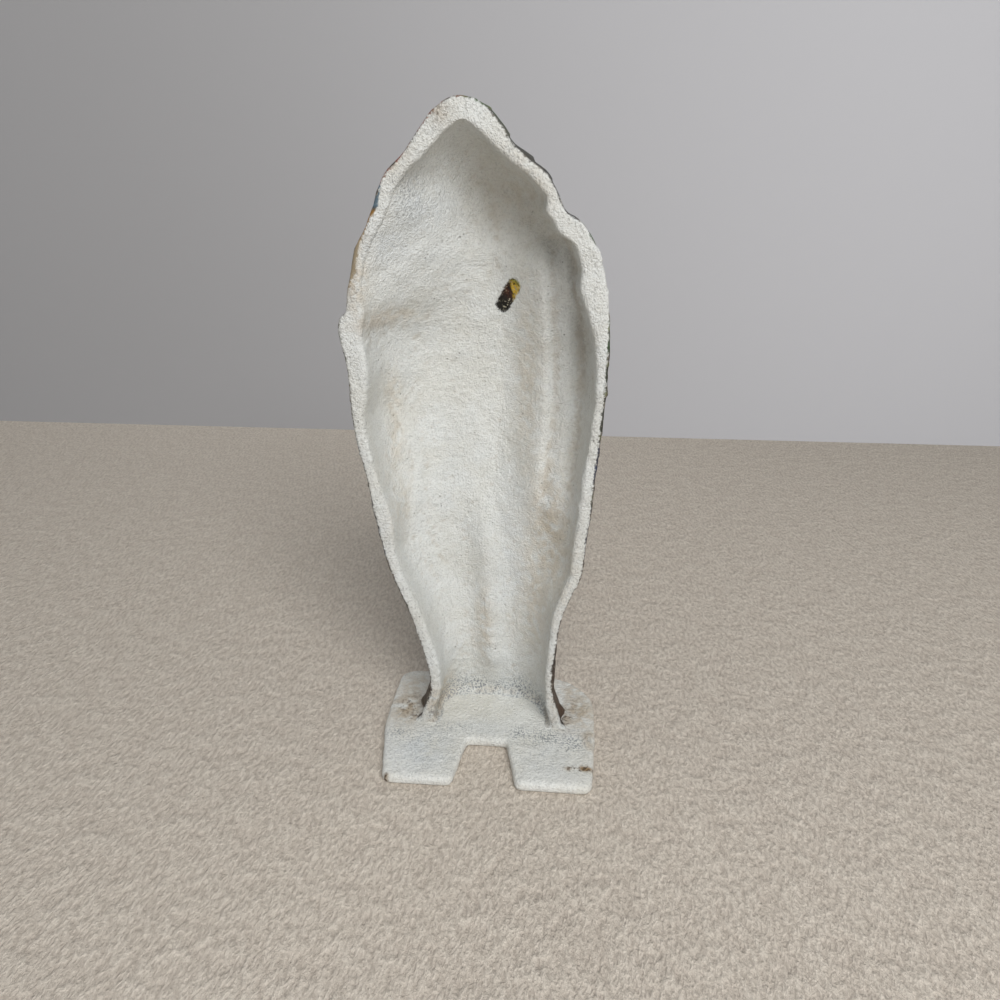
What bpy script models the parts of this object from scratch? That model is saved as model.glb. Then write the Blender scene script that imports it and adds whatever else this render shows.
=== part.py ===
"""Cast iron doorstop: a parrot perched on a tree stump, cast as a hollow half figure on a foot plate.

The figure's front faces -Y and its open, hollow back faces +Y. The back rim lies in the plane y = 0,
and the foot plate rests on the floor at z = 0.

The real object is one sand casting. A pattern made in the pattern maker's units (millimetres at the
pattern's own size) is written below as outlines and depths. The driving sizes stretch that pattern,
so a change of height, width, depth or wall carries through to every feature.
"""

import bmesh
import bpy
import numpy as np


# Driving sizes, in metres. The figure's height is without the foot plate.

FIGURE_HEIGHT = 0.2652
FIGURE_WIDTH = 0.1055
FIGURE_DEPTH = 0.0455
WALL = 0.0048
RIM_WIDTH = 0.005
RIM_LIP = 0.0012

PLATE_THICKNESS = 0.005
PLATE_LEFT_LEDGE = 0.0159
PLATE_RIGHT_LEDGE = 0.0169
PLATE_FRONT_LEDGE = 0.0054
PLATE_EDGE_ROUND = 0.0016
FRONT_LEFT_RADIUS = 0.026
FRONT_RIGHT_RADIUS = 0.0085
SIDE_BEND_RADIUS = 0.02
FEET_REACH = 0.037
FEET_CORNER_RADIUS = 0.0046
LEFT_FOOT_TAPER = 0.0023
RIGHT_FOOT_TAPER = 0.0067
NOTCH_WIDTH = 0.0184
NOTCH_DEPTH = 0.027
NOTCH_LEFT_FLARE = 0.0056
NOTCH_RIGHT_FLARE = 0.0037
NOTCH_CORNER_RADIUS = 0.0022

POCKET_LENGTH = 0.0145
POCKET_WIDTH = 0.0052
POCKET_DEPTH = 0.0026
POCKET_TILT = 0.5

# Clearances, in metres

CAST_SEAM = 0.0003
CROWN_WALL = 0.0076
CORE_OVERRUN = 0.004
POCKET_OVERRUN = 0.004
WELD_DISTANCE = 0.00005

# Mesh counts of the two lofts and of the sections they are drawn from

FRONT_COLUMNS = 26
CORE_ROWS = 31
CORE_COLUMNS = 18
SECTION_SAMPLES = 240


# The pattern, in millimetres. Each pair is (height above the floor, value at that height).

LEFT_OUTLINE = (
    (5.3, -34.2), (12.0, -32.6), (22.0, -30.6), (31.0, -30.0), (41.0, -30.3), (55.0, -31.3),
    (65.4, -33.0), (77.4, -37.2), (87.0, -40.7), (102.6, -42.1), (116.0, -43.5), (132.0, -44.5),
    (143.0, -45.6), (155.0, -46.4), (170.0, -47.2), (187.0, -47.3), (199.0, -46.1), (210.5, -44.3),
    (219.0, -41.5), (226.5, -37.3), (229.6, -34.2), (231.4, -31.3), (233.7, -28.8), (239.5, -26.0),
    (244.4, -22.8), (249.0, -17.3), (254.5, -10.4), (261.0, -5.8), (266.4, -1.3), (269.6, 3.6),
    (270.4, 7.6), (270.5, 8.8),
)
RIGHT_OUTLINE = (
    (5.3, 33.2), (15.0, 30.5), (25.0, 28.0), (33.0, 28.0), (43.0, 30.0), (52.0, 32.5),
    (63.0, 35.5), (76.0, 40.5), (88.0, 44.5), (101.0, 47.3), (112.0, 49.0), (127.0, 51.0),
    (138.0, 53.0), (147.0, 54.7), (160.0, 55.4), (172.0, 56.0), (182.0, 57.0), (190.0, 58.2),
    (193.6, 57.6), (196.6, 54.8), (203.5, 53.6), (211.5, 52.0), (219.0, 50.0), (227.6, 45.0),
    (233.0, 42.4), (241.0, 39.5), (246.6, 36.3), (250.5, 32.0), (255.4, 27.3), (262.0, 22.3),
    (268.0, 16.0), (270.2, 10.8), (270.5, 8.8),
)
DEEPEST_LINE = (
    (5.3, 0.0), (60.0, 1.0), (90.0, 3.0), (120.0, 4.0), (150.0, 5.0), (180.0, 5.0), (200.0, 3.0),
    (220.0, -1.0), (235.0, 0.0), (250.0, 3.5), (262.0, 8.0), (270.5, 8.8),
)
FRONT_DEPTH = (
    (5.3, 33.5), (15.0, 31.5), (30.0, 30.5), (50.0, 31.5), (70.0, 33.0), (80.0, 35.0), (87.0, 35.0),
    (93.0, 34.0), (102.0, 35.5), (112.0, 38.0), (128.0, 41.0), (150.0, 44.0), (170.0, 45.5),
    (185.0, 45.0), (197.0, 42.5), (205.0, 40.5), (214.0, 41.0), (228.0, 42.0), (240.0, 40.0),
    (249.0, 35.0), (257.0, 28.0), (263.0, 21.0), (267.0, 14.5), (269.5, 8.5), (270.3, 4.5),
    (270.5, 3.0),
)

# How full the section is towards each side: 2 is an ellipse, more is squarer, less is a slope.
# The hollow has a second table, because its right side rises softly beside the beak.

LEFT_FULLNESS = ((5.3, 3.0), (90.0, 2.8), (150.0, 2.7), (205.0, 2.7), (235.0, 2.4), (270.5, 2.2))
RIGHT_FULLNESS = (
    (5.3, 3.0), (90.0, 2.8), (150.0, 2.7), (185.0, 2.6), (200.0, 1.8), (212.0, 1.45), (232.0, 1.4),
    (246.0, 1.7), (270.5, 2.2),
)
LEFT_CORE_FULLNESS = ((0.0, 3.6), (100.0, 3.6), (190.0, 3.6), (235.0, 3.0), (262.9, 2.2))
RIGHT_CORE_FULLNESS = (
    (0.0, 3.4), (90.0, 3.3), (150.0, 3.2), (180.0, 2.9), (192.0, 2.3), (204.0, 1.7), (216.0, 1.6),
    (238.0, 1.6), (250.0, 1.8), (262.9, 2.0),
)
RIGHT_CORE_SOFTNESS = (
    (0.0, 0.29), (150.0, 0.31), (184.0, 0.38), (196.0, 0.75), (208.0, 1.2), (232.0, 1.25),
    (246.0, 0.85), (256.0, 0.55), (262.9, 0.5),
)

# The hollow: where its sides meet the back rim, as parts of the rim's width

LEFT_RIM = (
    (0.0, 1.0), (10.0, 0.95), (25.0, 0.75), (48.0, 0.65), (74.0, 0.9), (103.0, 1.0), (130.0, 1.0),
    (148.0, 0.9), (164.0, 0.8), (184.0, 1.06), (195.0, 1.45), (206.0, 1.9), (213.0, 1.6),
    (222.0, 1.55), (226.0, 2.2), (232.0, 1.6), (238.0, 0.95), (246.0, 1.45), (256.0, 1.5),
    (262.9, 1.5),
)
RIGHT_RIM = (
    (0.0, 1.1), (25.0, 1.05), (48.0, 1.1), (74.0, 1.0), (103.0, 0.95), (130.0, 0.95), (148.0, 1.0),
    (184.0, 1.3), (195.0, 1.7), (206.0, 1.1), (222.0, 1.0), (238.0, 1.2), (250.0, 1.6),
    (256.0, 1.7), (262.9, 1.7),
)
CORE_DOME = 9.9
RELIEF_ALLOWANCE = 0.6

POCKET_CENTRE = (-5.6, 199.2)
LEG_FURROW = ((5.0, -1.0), (25.0, 0.0), (52.0, 1.4), (72.0, 2.6), (92.0, 4.0), (104.0, 5.0))

# The drawing of the carved front, in pattern millimetres. The wings' inner edges and the beak's root
# are (height, x), and the mouth is (x, height).

LEFT_LINE = (
    (60.0, -23.0), (78.0, -25.5), (92.0, -26.0), (104.0, -25.0), (120.0, -23.0), (143.0, -21.9),
    (172.0, -21.0), (205.0, -20.3), (232.0, -19.5),
)
RIGHT_LINE = (
    (60.0, 25.0), (78.0, 31.0), (92.0, 36.0), (104.0, 37.5), (120.0, 38.5), (143.0, 40.3),
    (172.0, 41.5), (188.0, 43.0), (200.0, 44.0),
)
BEAK_ROOT = (
    (196.0, 40.0), (202.0, 36.5), (208.0, 33.5), (214.0, 31.0), (221.0, 29.5), (229.0, 30.5),
    (236.0, 33.5), (241.0, 37.0), (246.0, 42.0),
)
MOUTH = (
    (28.0, 212.8), (33.0, 212.6), (37.0, 211.4), (42.0, 207.6), (46.0, 202.4), (50.0, 198.0),
    (56.0, 194.6),
)
COVERT_ROWS = (232.0, 222.5, 213.0, 203.5, 193.5, 182.5, 170.0, 155.0)

# How far the sides of the carving are let in, so that it stays within the figure's outline

LET_IN = (
    (5.3, 1.2), (78.0, 1.2), (82.0, 4.6), (92.0, 4.6), (100.0, 4.0), (190.0, 4.0), (200.0, 3.0),
    (246.0, 2.2), (262.0, 1.8),
)
EDGE_FADE = 9.0
RIM_BAND = 3.0

# The feathers: width, length, how far a tip hangs over the next row, and how high it stands

BREAST_FEATHER = (13.0, 10.8, 0.52, 2.1)
BREAST_START = 360.0
COVERT_WIDTH = 12.0
COVERT_DROP = 0.45
QUILL_WIDTH = 9.4
QUILL_TOP = 160.0
LEFT_SHOULDER = 230.5
RIGHT_SHOULDER = 194.5
LEFT_QUILL_TIP = 101.0
RIGHT_QUILL_TIP = 104.0

# Level heights of the plain parts of the carving, and how deep each raised form is rooted

BREAST_LEVEL = 0.4
WING_LEVEL = 2.6
HEAD_LEVEL = 2.4
ROOT_RELIEF = 3.2
FOLD_DEPTH = 2.4
BEAK_TOP = 238.5
FORM_ROOT = 1.1

# Thighs, cheek and lower beak: centre (x, height) and half sizes. Toes: x and lean.

LEFT_THIGH = (-11.5, 109.0, 15.0, 20.0)
RIGHT_THIGH = (18.5, 109.0, 15.0, 20.0)
THIGH_HEIGHT = 4.2
CHEEK = (18.5, 230.0, 15.0, 15.6)
EYE = (16.5, 236.5, 6.8, 6.4)
LOWER_BEAK = (37.0, 207.0, 9.5, 7.6)
TOES = ((-17.6, -0.12), (-8.2, 0.08), (14.2, -0.08), (23.6, 0.12))

# The branch: height of its middle, half its thickness, and how high it stands

PERCH = (85.5, 7.2, 4.2)

# Tail feathers: x from the tail's middle, half width, height of the tip, and how high it stands

TAIL_FEATHERS = (
    (-15.6, 5.4, 40.0, 2.5), (15.6, 5.4, 43.0, 2.5), (-6.7, 6.2, 25.0, 3.6), (6.7, 6.2, 27.5, 3.6),
)
TAIL_TUCK = 1.5

# Bark: width, height and rows of a strip, and the knot's place round the stump, height and radius

BARK_WIDTH = 8.6
BARK_HEIGHT = 2.1
BARK_ROWS = (0.8, 5.7, 12.7, 22.7, 40.7, 58.7, 74.7)
KNOT = (-33.0, 52.0, 8.0)

PATTERN_BOTTOM = LEFT_OUTLINE[0][0]
PATTERN_TOP = LEFT_OUTLINE[-1][0]
PATTERN_WIDTH = max(x for z, x in RIGHT_OUTLINE) - min(x for z, x in LEFT_OUTLINE)
PATTERN_DEPTH = max(depth for z, depth in FRONT_DEPTH)
STRETCH_X = FIGURE_WIDTH / PATTERN_WIDTH
STRETCH_Y = FIGURE_DEPTH / PATTERN_DEPTH
STRETCH_Z = FIGURE_HEIGHT / (PATTERN_TOP - PATTERN_BOTTOM)
FIGURE_BOTTOM = PLATE_THICKNESS + CAST_SEAM
RIM_STEP = RIM_WIDTH / STRETCH_X
CORE_TOP = PATTERN_TOP - CROWN_WALL / STRETCH_Z
CORE_SHOULDER = CORE_TOP - CORE_DOME


def along(table, heights):
    """Smoothly interpolated values of a (height, value) table, without overshoot."""
    knots = np.array([row[0] for row in table])
    values = np.array([row[1] for row in table])
    steps = np.diff(knots)
    slopes = np.diff(values) / steps
    tangents = np.zeros_like(values)
    same_way = slopes[:-1] * slopes[1:] > 0.0
    total = np.where(same_way, slopes[:-1] + slopes[1:], 1.0)
    tangents[1:-1] = np.where(same_way, 2.0 * slopes[:-1] * slopes[1:] / total, 0.0)
    tangents[0] = slopes[0]
    tangents[-1] = slopes[-1]
    h = np.clip(np.asarray(heights, dtype=float), knots[0], knots[-1])
    i = np.clip(np.searchsorted(knots, h) - 1, 0, len(steps) - 1)
    u = (h - knots[i]) / steps[i]
    start = values[i] * (1.0 + 2.0 * u) * (1.0 - u) ** 2
    end = values[i + 1] * u * u * (3.0 - 2.0 * u)
    leave = tangents[i] * steps[i] * u * (1.0 - u) ** 2
    arrive = tangents[i + 1] * steps[i] * u * u * (u - 1.0)
    return start + end + leave + arrive


def ramp(value, low, high):
    """0 below low, 1 above high, and a smooth step between them."""
    u = np.clip((value - low) / (high - low), 0.0, 1.0)
    return u * u * (3.0 - 2.0 * u)


def groove(distance, width):
    """A rounded groove or ridge section, 1 on its line."""
    return np.exp(-(distance / width) ** 2)


def dome(away):
    """A rounded boss: 1 at 0, and 0 from 1 on."""
    return np.sqrt(np.clip(1.0 - np.square(away), 0.0, 1.0))


def thighs(x, z):
    """The two rounded thighs, in pattern millimetres."""
    height = 0.0
    for centre_x, centre_z, radius_x, radius_z in (LEFT_THIGH, RIGHT_THIGH):
        boss = dome(np.hypot((x - centre_x) / radius_x, (z - centre_z) / radius_z))
        height = np.maximum(height, THIGH_HEIGHT * boss ** 1.6)
    return height


def roots(s, z):
    """The stump's foot runs out in roots."""
    return ROOT_RELIEF * np.abs(np.sin(s * 0.105 + 0.7)) ** 1.2 * ramp(-z, -27.0, -7.0)


def fold(x, z):
    """The fold that runs in below the beak."""
    open_part = ramp(x, 22.0, 34.0) * (1.0 - ramp(right_top(x) - z, -0.2, 0.8))
    return FOLD_DEPTH * groove(z - RIGHT_SHOULDER - 0.04 * (x - 40.0), 2.3) * open_part


def rooted(x, z):
    """How deep a raised form is rooted at a place: deeper where it lies over the fold."""
    over_fold = ramp(x, 18.0, 28.0) * ramp(-x, -50.0, -44.0)
    over_fold = over_fold * ramp(z, 176.0, 186.0) * ramp(-z, -216.0, -206.0)
    return FORM_ROOT + FOLD_DEPTH * over_fold


def left_top(x):
    """The upper edge of the left wing."""
    return LEFT_SHOULDER - 0.075 * np.maximum(x + 41.0, 0.0) ** 2


def right_top(x):
    """The upper edge of the right wing."""
    return RIGHT_SHOULDER - 0.055 * (59.0 - x) ** 2


def core_relief(x, z):
    """The soft echo of the front's folds inside the hollow, in pattern millimetres."""
    away = x + 19.8
    ridge = groove(away, np.where(away > 0.0, 7.0, 4.6))
    ridge = ridge * ramp(z, 94.0, 118.0) * ramp(-z, -231.0, -214.0)
    crease = groove(x - 41.0, 4.0) * ramp(z, 98.0, 120.0) * ramp(-z, -192.0, -178.0)
    fold = groove(z - 196.0 - 0.05 * (x - 40.0), 5.0) * ramp(x, 16.0, 44.0)
    furrow = groove(x - along(LEG_FURROW, z), 6.5) * ramp(z, 4.0, 34.0) * ramp(-z, -118.0, -84.0)
    hump = groove(np.hypot(x + 8.0, 0.6 * (z - 98.0)), 10.0)
    shelf = groove(np.hypot(x - 42.0, 0.8 * (z - 221.0)), 8.0)
    return -6.2 * ridge - 1.6 * crease - 3.0 * fold - 5.6 * furrow - 1.4 * hump + 1.2 * shelf


def section_shape(t, fullness, softness):
    """Depth of a section across the figure, as a part of its full depth, for t from -1 to 1."""
    return np.clip(1.0 - np.abs(t) ** fullness, 0.0, 1.0) ** softness


def world_z(pattern_z):
    """Height in metres of a pattern height in millimetres."""
    return FIGURE_BOTTOM + (pattern_z - PATTERN_BOTTOM) * STRETCH_Z


class Section:
    """One height of the figure's plain round front, with places counted round it from its middle."""

    def __init__(self, z):
        left = along(LEFT_OUTLINE, z)
        right = along(RIGHT_OUTLINE, z)
        centre = along(DEEPEST_LINE, z)
        depth = along(FRONT_DEPTH, z)
        lip = min(RIM_LIP / STRETCH_X, 0.2 * (right - left) + 0.05)
        if right - left < 0.4:
            left = left - 0.2
            right = right + 0.2
        t = -np.cos(np.linspace(0.0, np.pi, SECTION_SAMPLES))
        fullness = np.where(t < 0.0, along(LEFT_FULLNESS, z), along(RIGHT_FULLNESS, z))
        self.z = z
        self.lip = lip
        self.lip_depth = min(lip, 0.3 * depth)
        self.x = centre + t * np.where(t < 0.0, centre - left, right - centre)
        plain = section_shape(t, fullness, 1.0 / fullness)
        self.depth = self.lip_depth + (depth - self.lip_depth) * plain
        step = np.hypot(np.diff(self.x), np.diff(self.depth))
        self.s = np.concatenate(([0.0], np.cumsum(step)))
        self.s = self.s - np.interp(centre, self.x, self.s)
        across = np.gradient(self.x)
        inward = np.gradient(self.depth)
        size = np.maximum(np.hypot(across, inward), 1e-9)
        self.out_x = -inward / size
        self.out_depth = across / size

    def s_of(self, x):
        return np.interp(x, self.x, self.s)

    def x_of(self, s):
        return np.interp(s, self.s, self.x)

    def reach(self, side):
        """How far the section goes round on one side: -1 is the left and 1 the right."""
        return self.s[-1] if side > 0.0 else -self.s[0]

    def place(self, s, height, root=0.0):
        """A point of the front in metres, at a carving height less how deep it is rooted."""
        x = np.interp(s, self.s, self.x)
        depth = np.interp(s, self.s, self.depth)
        out_x = np.interp(s, self.s, self.out_x)
        out_depth = np.interp(s, self.s, self.out_depth)
        from_edge = np.minimum(s - self.s[0], self.s[-1] - s)
        fade = ramp(from_edge, 0.3, EDGE_FADE) * ramp(PATTERN_TOP - self.z, 0.2, 5.0)
        net = (height - along(LET_IN, self.z) * np.abs(out_x)) * fade - root
        return (x + out_x * net) * STRETCH_X, -(depth + out_depth * net) * STRETCH_Y, world_z(self.z)


SECTIONS = {}


def section_at(z):
    """The plain section at one height. Each is worked out once."""
    key = round(float(z), 4)
    if key not in SECTIONS:
        SECTIONS[key] = Section(key)
    return SECTIONS[key]


def level_height(section, s):
    """The carving's plain levels at one height: breast, thighs, wings, head and roots."""
    x = section.x_of(s)
    z = section.z
    out_left = section.s_of(along(LEFT_LINE, z)) - s
    out_right = s - section.s_of(along(RIGHT_LINE, z))
    above_perch = ramp(z - PERCH[0], -1.5, 6.5)
    left_wing = ramp(out_left, 1.5, 6.0) * ramp(left_top(x) - z, 0.0, 6.0) * above_perch
    right_wing = ramp(out_right, 1.5, 6.0) * ramp(right_top(x) - z, 0.0, 6.0) * above_perch
    wing = np.maximum(left_wing, right_wing)
    head = HEAD_LEVEL * ramp(z, 200.0, 213.0)
    under_perch = 2.0 * ramp(z - PERCH[0], -8.5, -4.5) * ramp(PERCH[0] - z, -8.5, -5.5)
    height = BREAST_LEVEL + thighs(x, z) * above_perch + np.maximum(head, under_perch)
    height = height * (1.0 - wing) + WING_LEVEL * wing + roots(s, z)
    return height - fold(x, z)


def front_section(z):
    """One cross section of the solid figure: its lip, its front and its other lip."""
    section = section_at(z)
    s = np.linspace(section.s[0], section.s[-1], FRONT_COLUMNS)
    x, y, height = section.place(s, level_height(section, s))
    left = section.x[0]
    right = section.x[-1]
    lip = section.lip
    low = 0.3 * section.lip_depth
    points = [(left + lip, 0.0), (left + 0.3 * lip, low)]
    points += list(zip(x / STRETCH_X, -y / STRETCH_Y))
    points += [(right - 0.3 * lip, low), (right - lip, 0.0)]
    return [(px * STRETCH_X, -py * STRETCH_Y, height) for px, py in points]


def core_depth(z):
    """How deep the hollow goes at a height: the front's depth less the wall, closing at the top."""
    closing = np.clip((z - CORE_SHOULDER) / (CORE_TOP - CORE_SHOULDER), 0.0, 1.0)
    full = along(FRONT_DEPTH, z) - WALL / STRETCH_Y - RELIEF_ALLOWANCE
    return full * np.sqrt(1.0 - closing ** 2) + 1.5 * closing


def core_shape(t, z):
    """The hollow's section: steep on the left, and on the right soft where the beak lies."""
    left_fullness = along(LEFT_CORE_FULLNESS, z)
    fullness = np.where(t < 0.0, left_fullness, along(RIGHT_CORE_FULLNESS, z))
    softness = np.where(t < 0.0, 1.0 / left_fullness, along(RIGHT_CORE_SOFTNESS, z))
    return section_shape(t, fullness, softness)


def core_section(z, columns):
    """One cross section of the core that leaves the hollow: it starts behind the back rim."""
    height = np.clip(z, PATTERN_BOTTOM, PATTERN_TOP)
    left = along(LEFT_OUTLINE, height) + along(LEFT_RIM, z) * RIM_STEP
    right = along(RIGHT_OUTLINE, height) - along(RIGHT_RIM, z) * RIM_STEP
    closing = np.clip((z - CORE_SHOULDER) / (CORE_TOP - CORE_SHOULDER), 0.0, 1.0)
    narrow = np.sqrt(max(1.0 - closing ** 2.4, 0.0))
    middle = 0.5 * (left + right)
    half = 0.5 * (right - left) * narrow + 0.4
    left = middle - half
    right = middle + half
    centre = np.clip(along(DEEPEST_LINE, height), left + 0.3 * half, right - 0.3 * half)
    depth = core_depth(z)
    lip = min(RIM_LIP / STRETCH_X, 0.25 * half)
    t = -np.cos(np.linspace(0.0, np.pi, columns + 1))
    inner_left = left + 0.7 * lip
    inner_right = right - 0.7 * lip
    x = np.where(t < 0.0, centre + t * (centre - inner_left), centre + t * (inner_right - centre))
    inside = np.minimum(x - left, right - x)
    edge_fade = ramp(inside, 1.0, 6.0) * ramp(CORE_TOP - z, 4.0, 16.0)
    lip_depth = min(lip, 0.3 * depth)
    y = lip_depth + (depth - lip_depth) * core_shape(t, z)
    y = np.maximum(y + core_relief(x, z) * edge_fade, lip_depth)
    back = -CORE_OVERRUN / STRETCH_Y
    points = [(left, back), (left, 0.0), (left + 0.2 * lip, 0.3 * lip_depth)]
    points += list(zip(x, y))
    points += [(right - 0.2 * lip, 0.3 * lip_depth), (right, 0.0), (right, back)]
    return [(px * STRETCH_X, -py * STRETCH_Y, world_z(z)) for px, py in points]


def finish(mesh, name, collection):
    """Turn the faces outwards and make the object."""
    bmesh.ops.recalc_face_normals(mesh, faces=mesh.faces)
    data = bpy.data.meshes.new(name)
    mesh.to_mesh(data)
    mesh.free()
    solid = bpy.data.objects.new(name, data)
    collection.objects.link(solid)
    return solid


def loft(name, sections, collection):
    """A closed solid through ring sections of the same count, with flat ends."""
    mesh = bmesh.new()
    rings = [[mesh.verts.new(point) for point in section] for section in sections]
    count = len(rings[0])
    for lower, upper in zip(rings[:-1], rings[1:]):
        for i in range(count):
            j = (i + 1) % count
            mesh.faces.new((lower[i], lower[j], upper[j], upper[i]))
    mesh.faces.new(rings[0][::-1])
    mesh.faces.new(rings[-1])
    return finish(mesh, name, collection)


def raised(name, z, s, height, forms):
    """A closed form over a grid of places: its top at the heights, its underside in the wall."""
    rows, columns = z.shape
    mesh = bmesh.new()
    top = []
    under = []
    for i in range(rows):
        for j in range(columns):
            section = section_at(z[i, j])
            top.append(mesh.verts.new(section.place(s[i, j], height[i, j])))
            root = rooted(section.x_of(s[i, j]), z[i, j])
            under.append(mesh.verts.new(section.place(s[i, j], 0.0, root)))
    edge = list(range(columns))
    edge += [i * columns + columns - 1 for i in range(1, rows)]
    edge += [(rows - 1) * columns + j for j in range(columns - 2, -1, -1)]
    edge += [i * columns for i in range(rows - 2, 0, -1)]
    for grid in (top, under):
        for i in range(rows - 1):
            for j in range(columns - 1):
                k = i * columns + j
                mesh.faces.new((grid[k], grid[k + 1], grid[k + columns + 1], grid[k + columns]))
    for a, b in zip(edge, edge[1:] + edge[:1]):
        mesh.faces.new((top[a], top[b], under[b], under[a]))
    return finish(mesh, name, forms)


def mound(name, centre, outline, profile, forms, by_s=False):
    """A closed form on rings round a centre. The profile is (part of the outline, height)."""
    mesh = bmesh.new()
    rings = []
    for root in (0.0, FORM_ROOT):
        for share, height in profile:
            places = outline if share > 0.0 else outline[:1]
            ring = []
            for x, z in places:
                section = section_at(centre[1] + share * (z - centre[1]))
                around = centre[0] + share * (x - centre[0])
                s = around if by_s else section.s_of(around)
                ring.append(mesh.verts.new(section.place(s, 0.0 if root else height, root)))
            rings.append(ring)
    count = len(outline)
    half = len(profile)
    for first in (0, half):
        for k in range(first, first + half - 1):
            inner = rings[k]
            outer = rings[k + 1]
            for i in range(count):
                j = (i + 1) % count
                if len(inner) == 1:
                    mesh.faces.new((inner[0], outer[i], outer[j]))
                else:
                    mesh.faces.new((inner[i], outer[i], outer[j], inner[j]))
    for i in range(count):
        j = (i + 1) % count
        mesh.faces.new((rings[half - 1][i], rings[half - 1][j], rings[-1][j], rings[-1][i]))
    return finish(mesh, name, forms)


def round_outline(centre_x, centre_z, radius_x, radius_z, count):
    """Points of an ellipse."""
    angles = np.linspace(0.0, 2.0 * np.pi, count, endpoint=False)
    return [(centre_x + radius_x * np.cos(a), centre_z + radius_z * np.sin(a)) for a in angles]


def s_at(x, z):
    """Places round the section for arrays of x and height."""
    return np.array([section_at(h).s_of(px) for px, h in zip(x.ravel(), z.ravel())]).reshape(x.shape)


def x_at(s, z):
    """x for arrays of places round the section and heights."""
    return np.array([section_at(h).x_of(ps) for ps, h in zip(s.ravel(), z.ravel())]).reshape(s.shape)


def breast_rows(forms):
    """Rows of overlapping rounded feathers between the wings."""
    width, length, drop, rise = BREAST_FEATHER
    for row in range(14, 24):
        shift = 0.5 * (row % 2)
        z_row = BREAST_START - length * (row + 1.0)
        low = float(along(LEFT_LINE, z_row)) - 3.5
        high = float(along(RIGHT_LINE, z_row)) + 3.5
        first = np.ceil(4.0 * ((low - 1.0) / width + shift)) / 4.0
        last = np.floor(4.0 * ((high - 1.0) / width + shift)) / 4.0
        u = np.arange(first, last + 0.1, 0.25)
        own = np.mod(u, 1.0) - 0.5
        x = (u - shift) * width + 1.0
        sag = 0.0055 * (x - 5.0) ** 2
        down = np.array((-0.25 + 0.0 * own, 1.0 + drop * dome(2.0 * own)))
        z = BREAST_START + sag - length * (row + down)
        x = np.array((x, x))
        height = rise * (0.55 * down - 0.7 * own ** 2) + thighs(x, z)
        height[1] = height[1] + 0.12
        raised("breast_row_%02d" % row, z, s_at(x, z), height, forms)


def wing_places(side, line, z, out, reach):
    """Places at distances out from a wing's inner edge, drawn together where there is less room."""
    s = np.zeros_like(z)
    for i in range(z.shape[0]):
        for j in range(z.shape[1]):
            section = section_at(z[i, j])
            start = section.s_of(along(line, z[i, j]))
            room = section.reach(side) - side * start - RIM_BAND
            s[i, j] = start + side * out[i, j] * min(1.0, room / reach)
    return s


def covert_rows(side, shoulder_top, forms):
    """Rows of short rounded feathers on one wing's shoulder. side is -1 for the left wing."""
    line = LEFT_LINE if side < 0.0 else RIGHT_LINE
    knots = np.arange(len(COVERT_ROWS))
    for row in range(len(COVERT_ROWS) - 1):
        shift = 0.5 * (row % 2)
        z_tip = float(np.interp(row + 1.2, knots, COVERT_ROWS, right=COVERT_ROWS[-1] - 3.4))
        section = section_at(z_tip)
        reach = section.reach(side) - side * section.s_of(along(line, z_tip)) - RIM_BAND
        u = np.arange(np.ceil(4.0 * (0.25 + shift)) / 4.0, reach / COVERT_WIDTH + 0.25 + shift, 0.25)
        own = np.mod(u, 1.0) - 0.5
        out = (u - shift - 0.25) * COVERT_WIDTH
        out = np.array((out, out))
        down = np.array((row - 0.25 + 0.0 * own, row + 1.0 + COVERT_DROP * dome(2.0 * own)))
        drawn = np.interp(down, knots, COVERT_ROWS)
        drawn = np.where(down > knots[-1], COVERT_ROWS[-1] - 17.0 * (down - knots[-1]), drawn)
        drawn = np.where(down < 0.0, COVERT_ROWS[0] - 8.0 * down, drawn)
        z = drawn
        for repeat in range(3):
            s = wing_places(side, line, z, out, reach)
            top = shoulder_top(x_at(s, z))
            upper = np.minimum(drawn[0], top[0] - 0.2 - 0.7 * row)
            z = np.array((upper, np.minimum(drawn[1], upper - 1.2)))
        keep = drawn[1] < top[1] - 2.5
        if np.count_nonzero(keep) < 3:
            continue
        first = int(np.argmax(keep))
        if row < 2:
            z = np.array((z[0], 0.5 * (z[0] + z[1]), z[1]))
            down = np.array((down[0], 0.5 * (down[0] + down[1]), down[1]))
            out = np.array((out[0], out[0], out[0]))
        s = wing_places(side, line, z, out, reach)
        inner = np.minimum(out, shoulder_top(x_at(s, z)) - z)
        height = 3.6 + 1.9 * (0.55 * (down - row) - 0.7 * own ** 2)
        height = height * (0.5 + 0.5 * ramp(inner, 0.0, 5.0))
        name = "covert_row_%s_%d" % ("left" if side < 0.0 else "right", row)
        raised(name, z[:, first:], s[:, first:], height[:, first:], forms)


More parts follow.
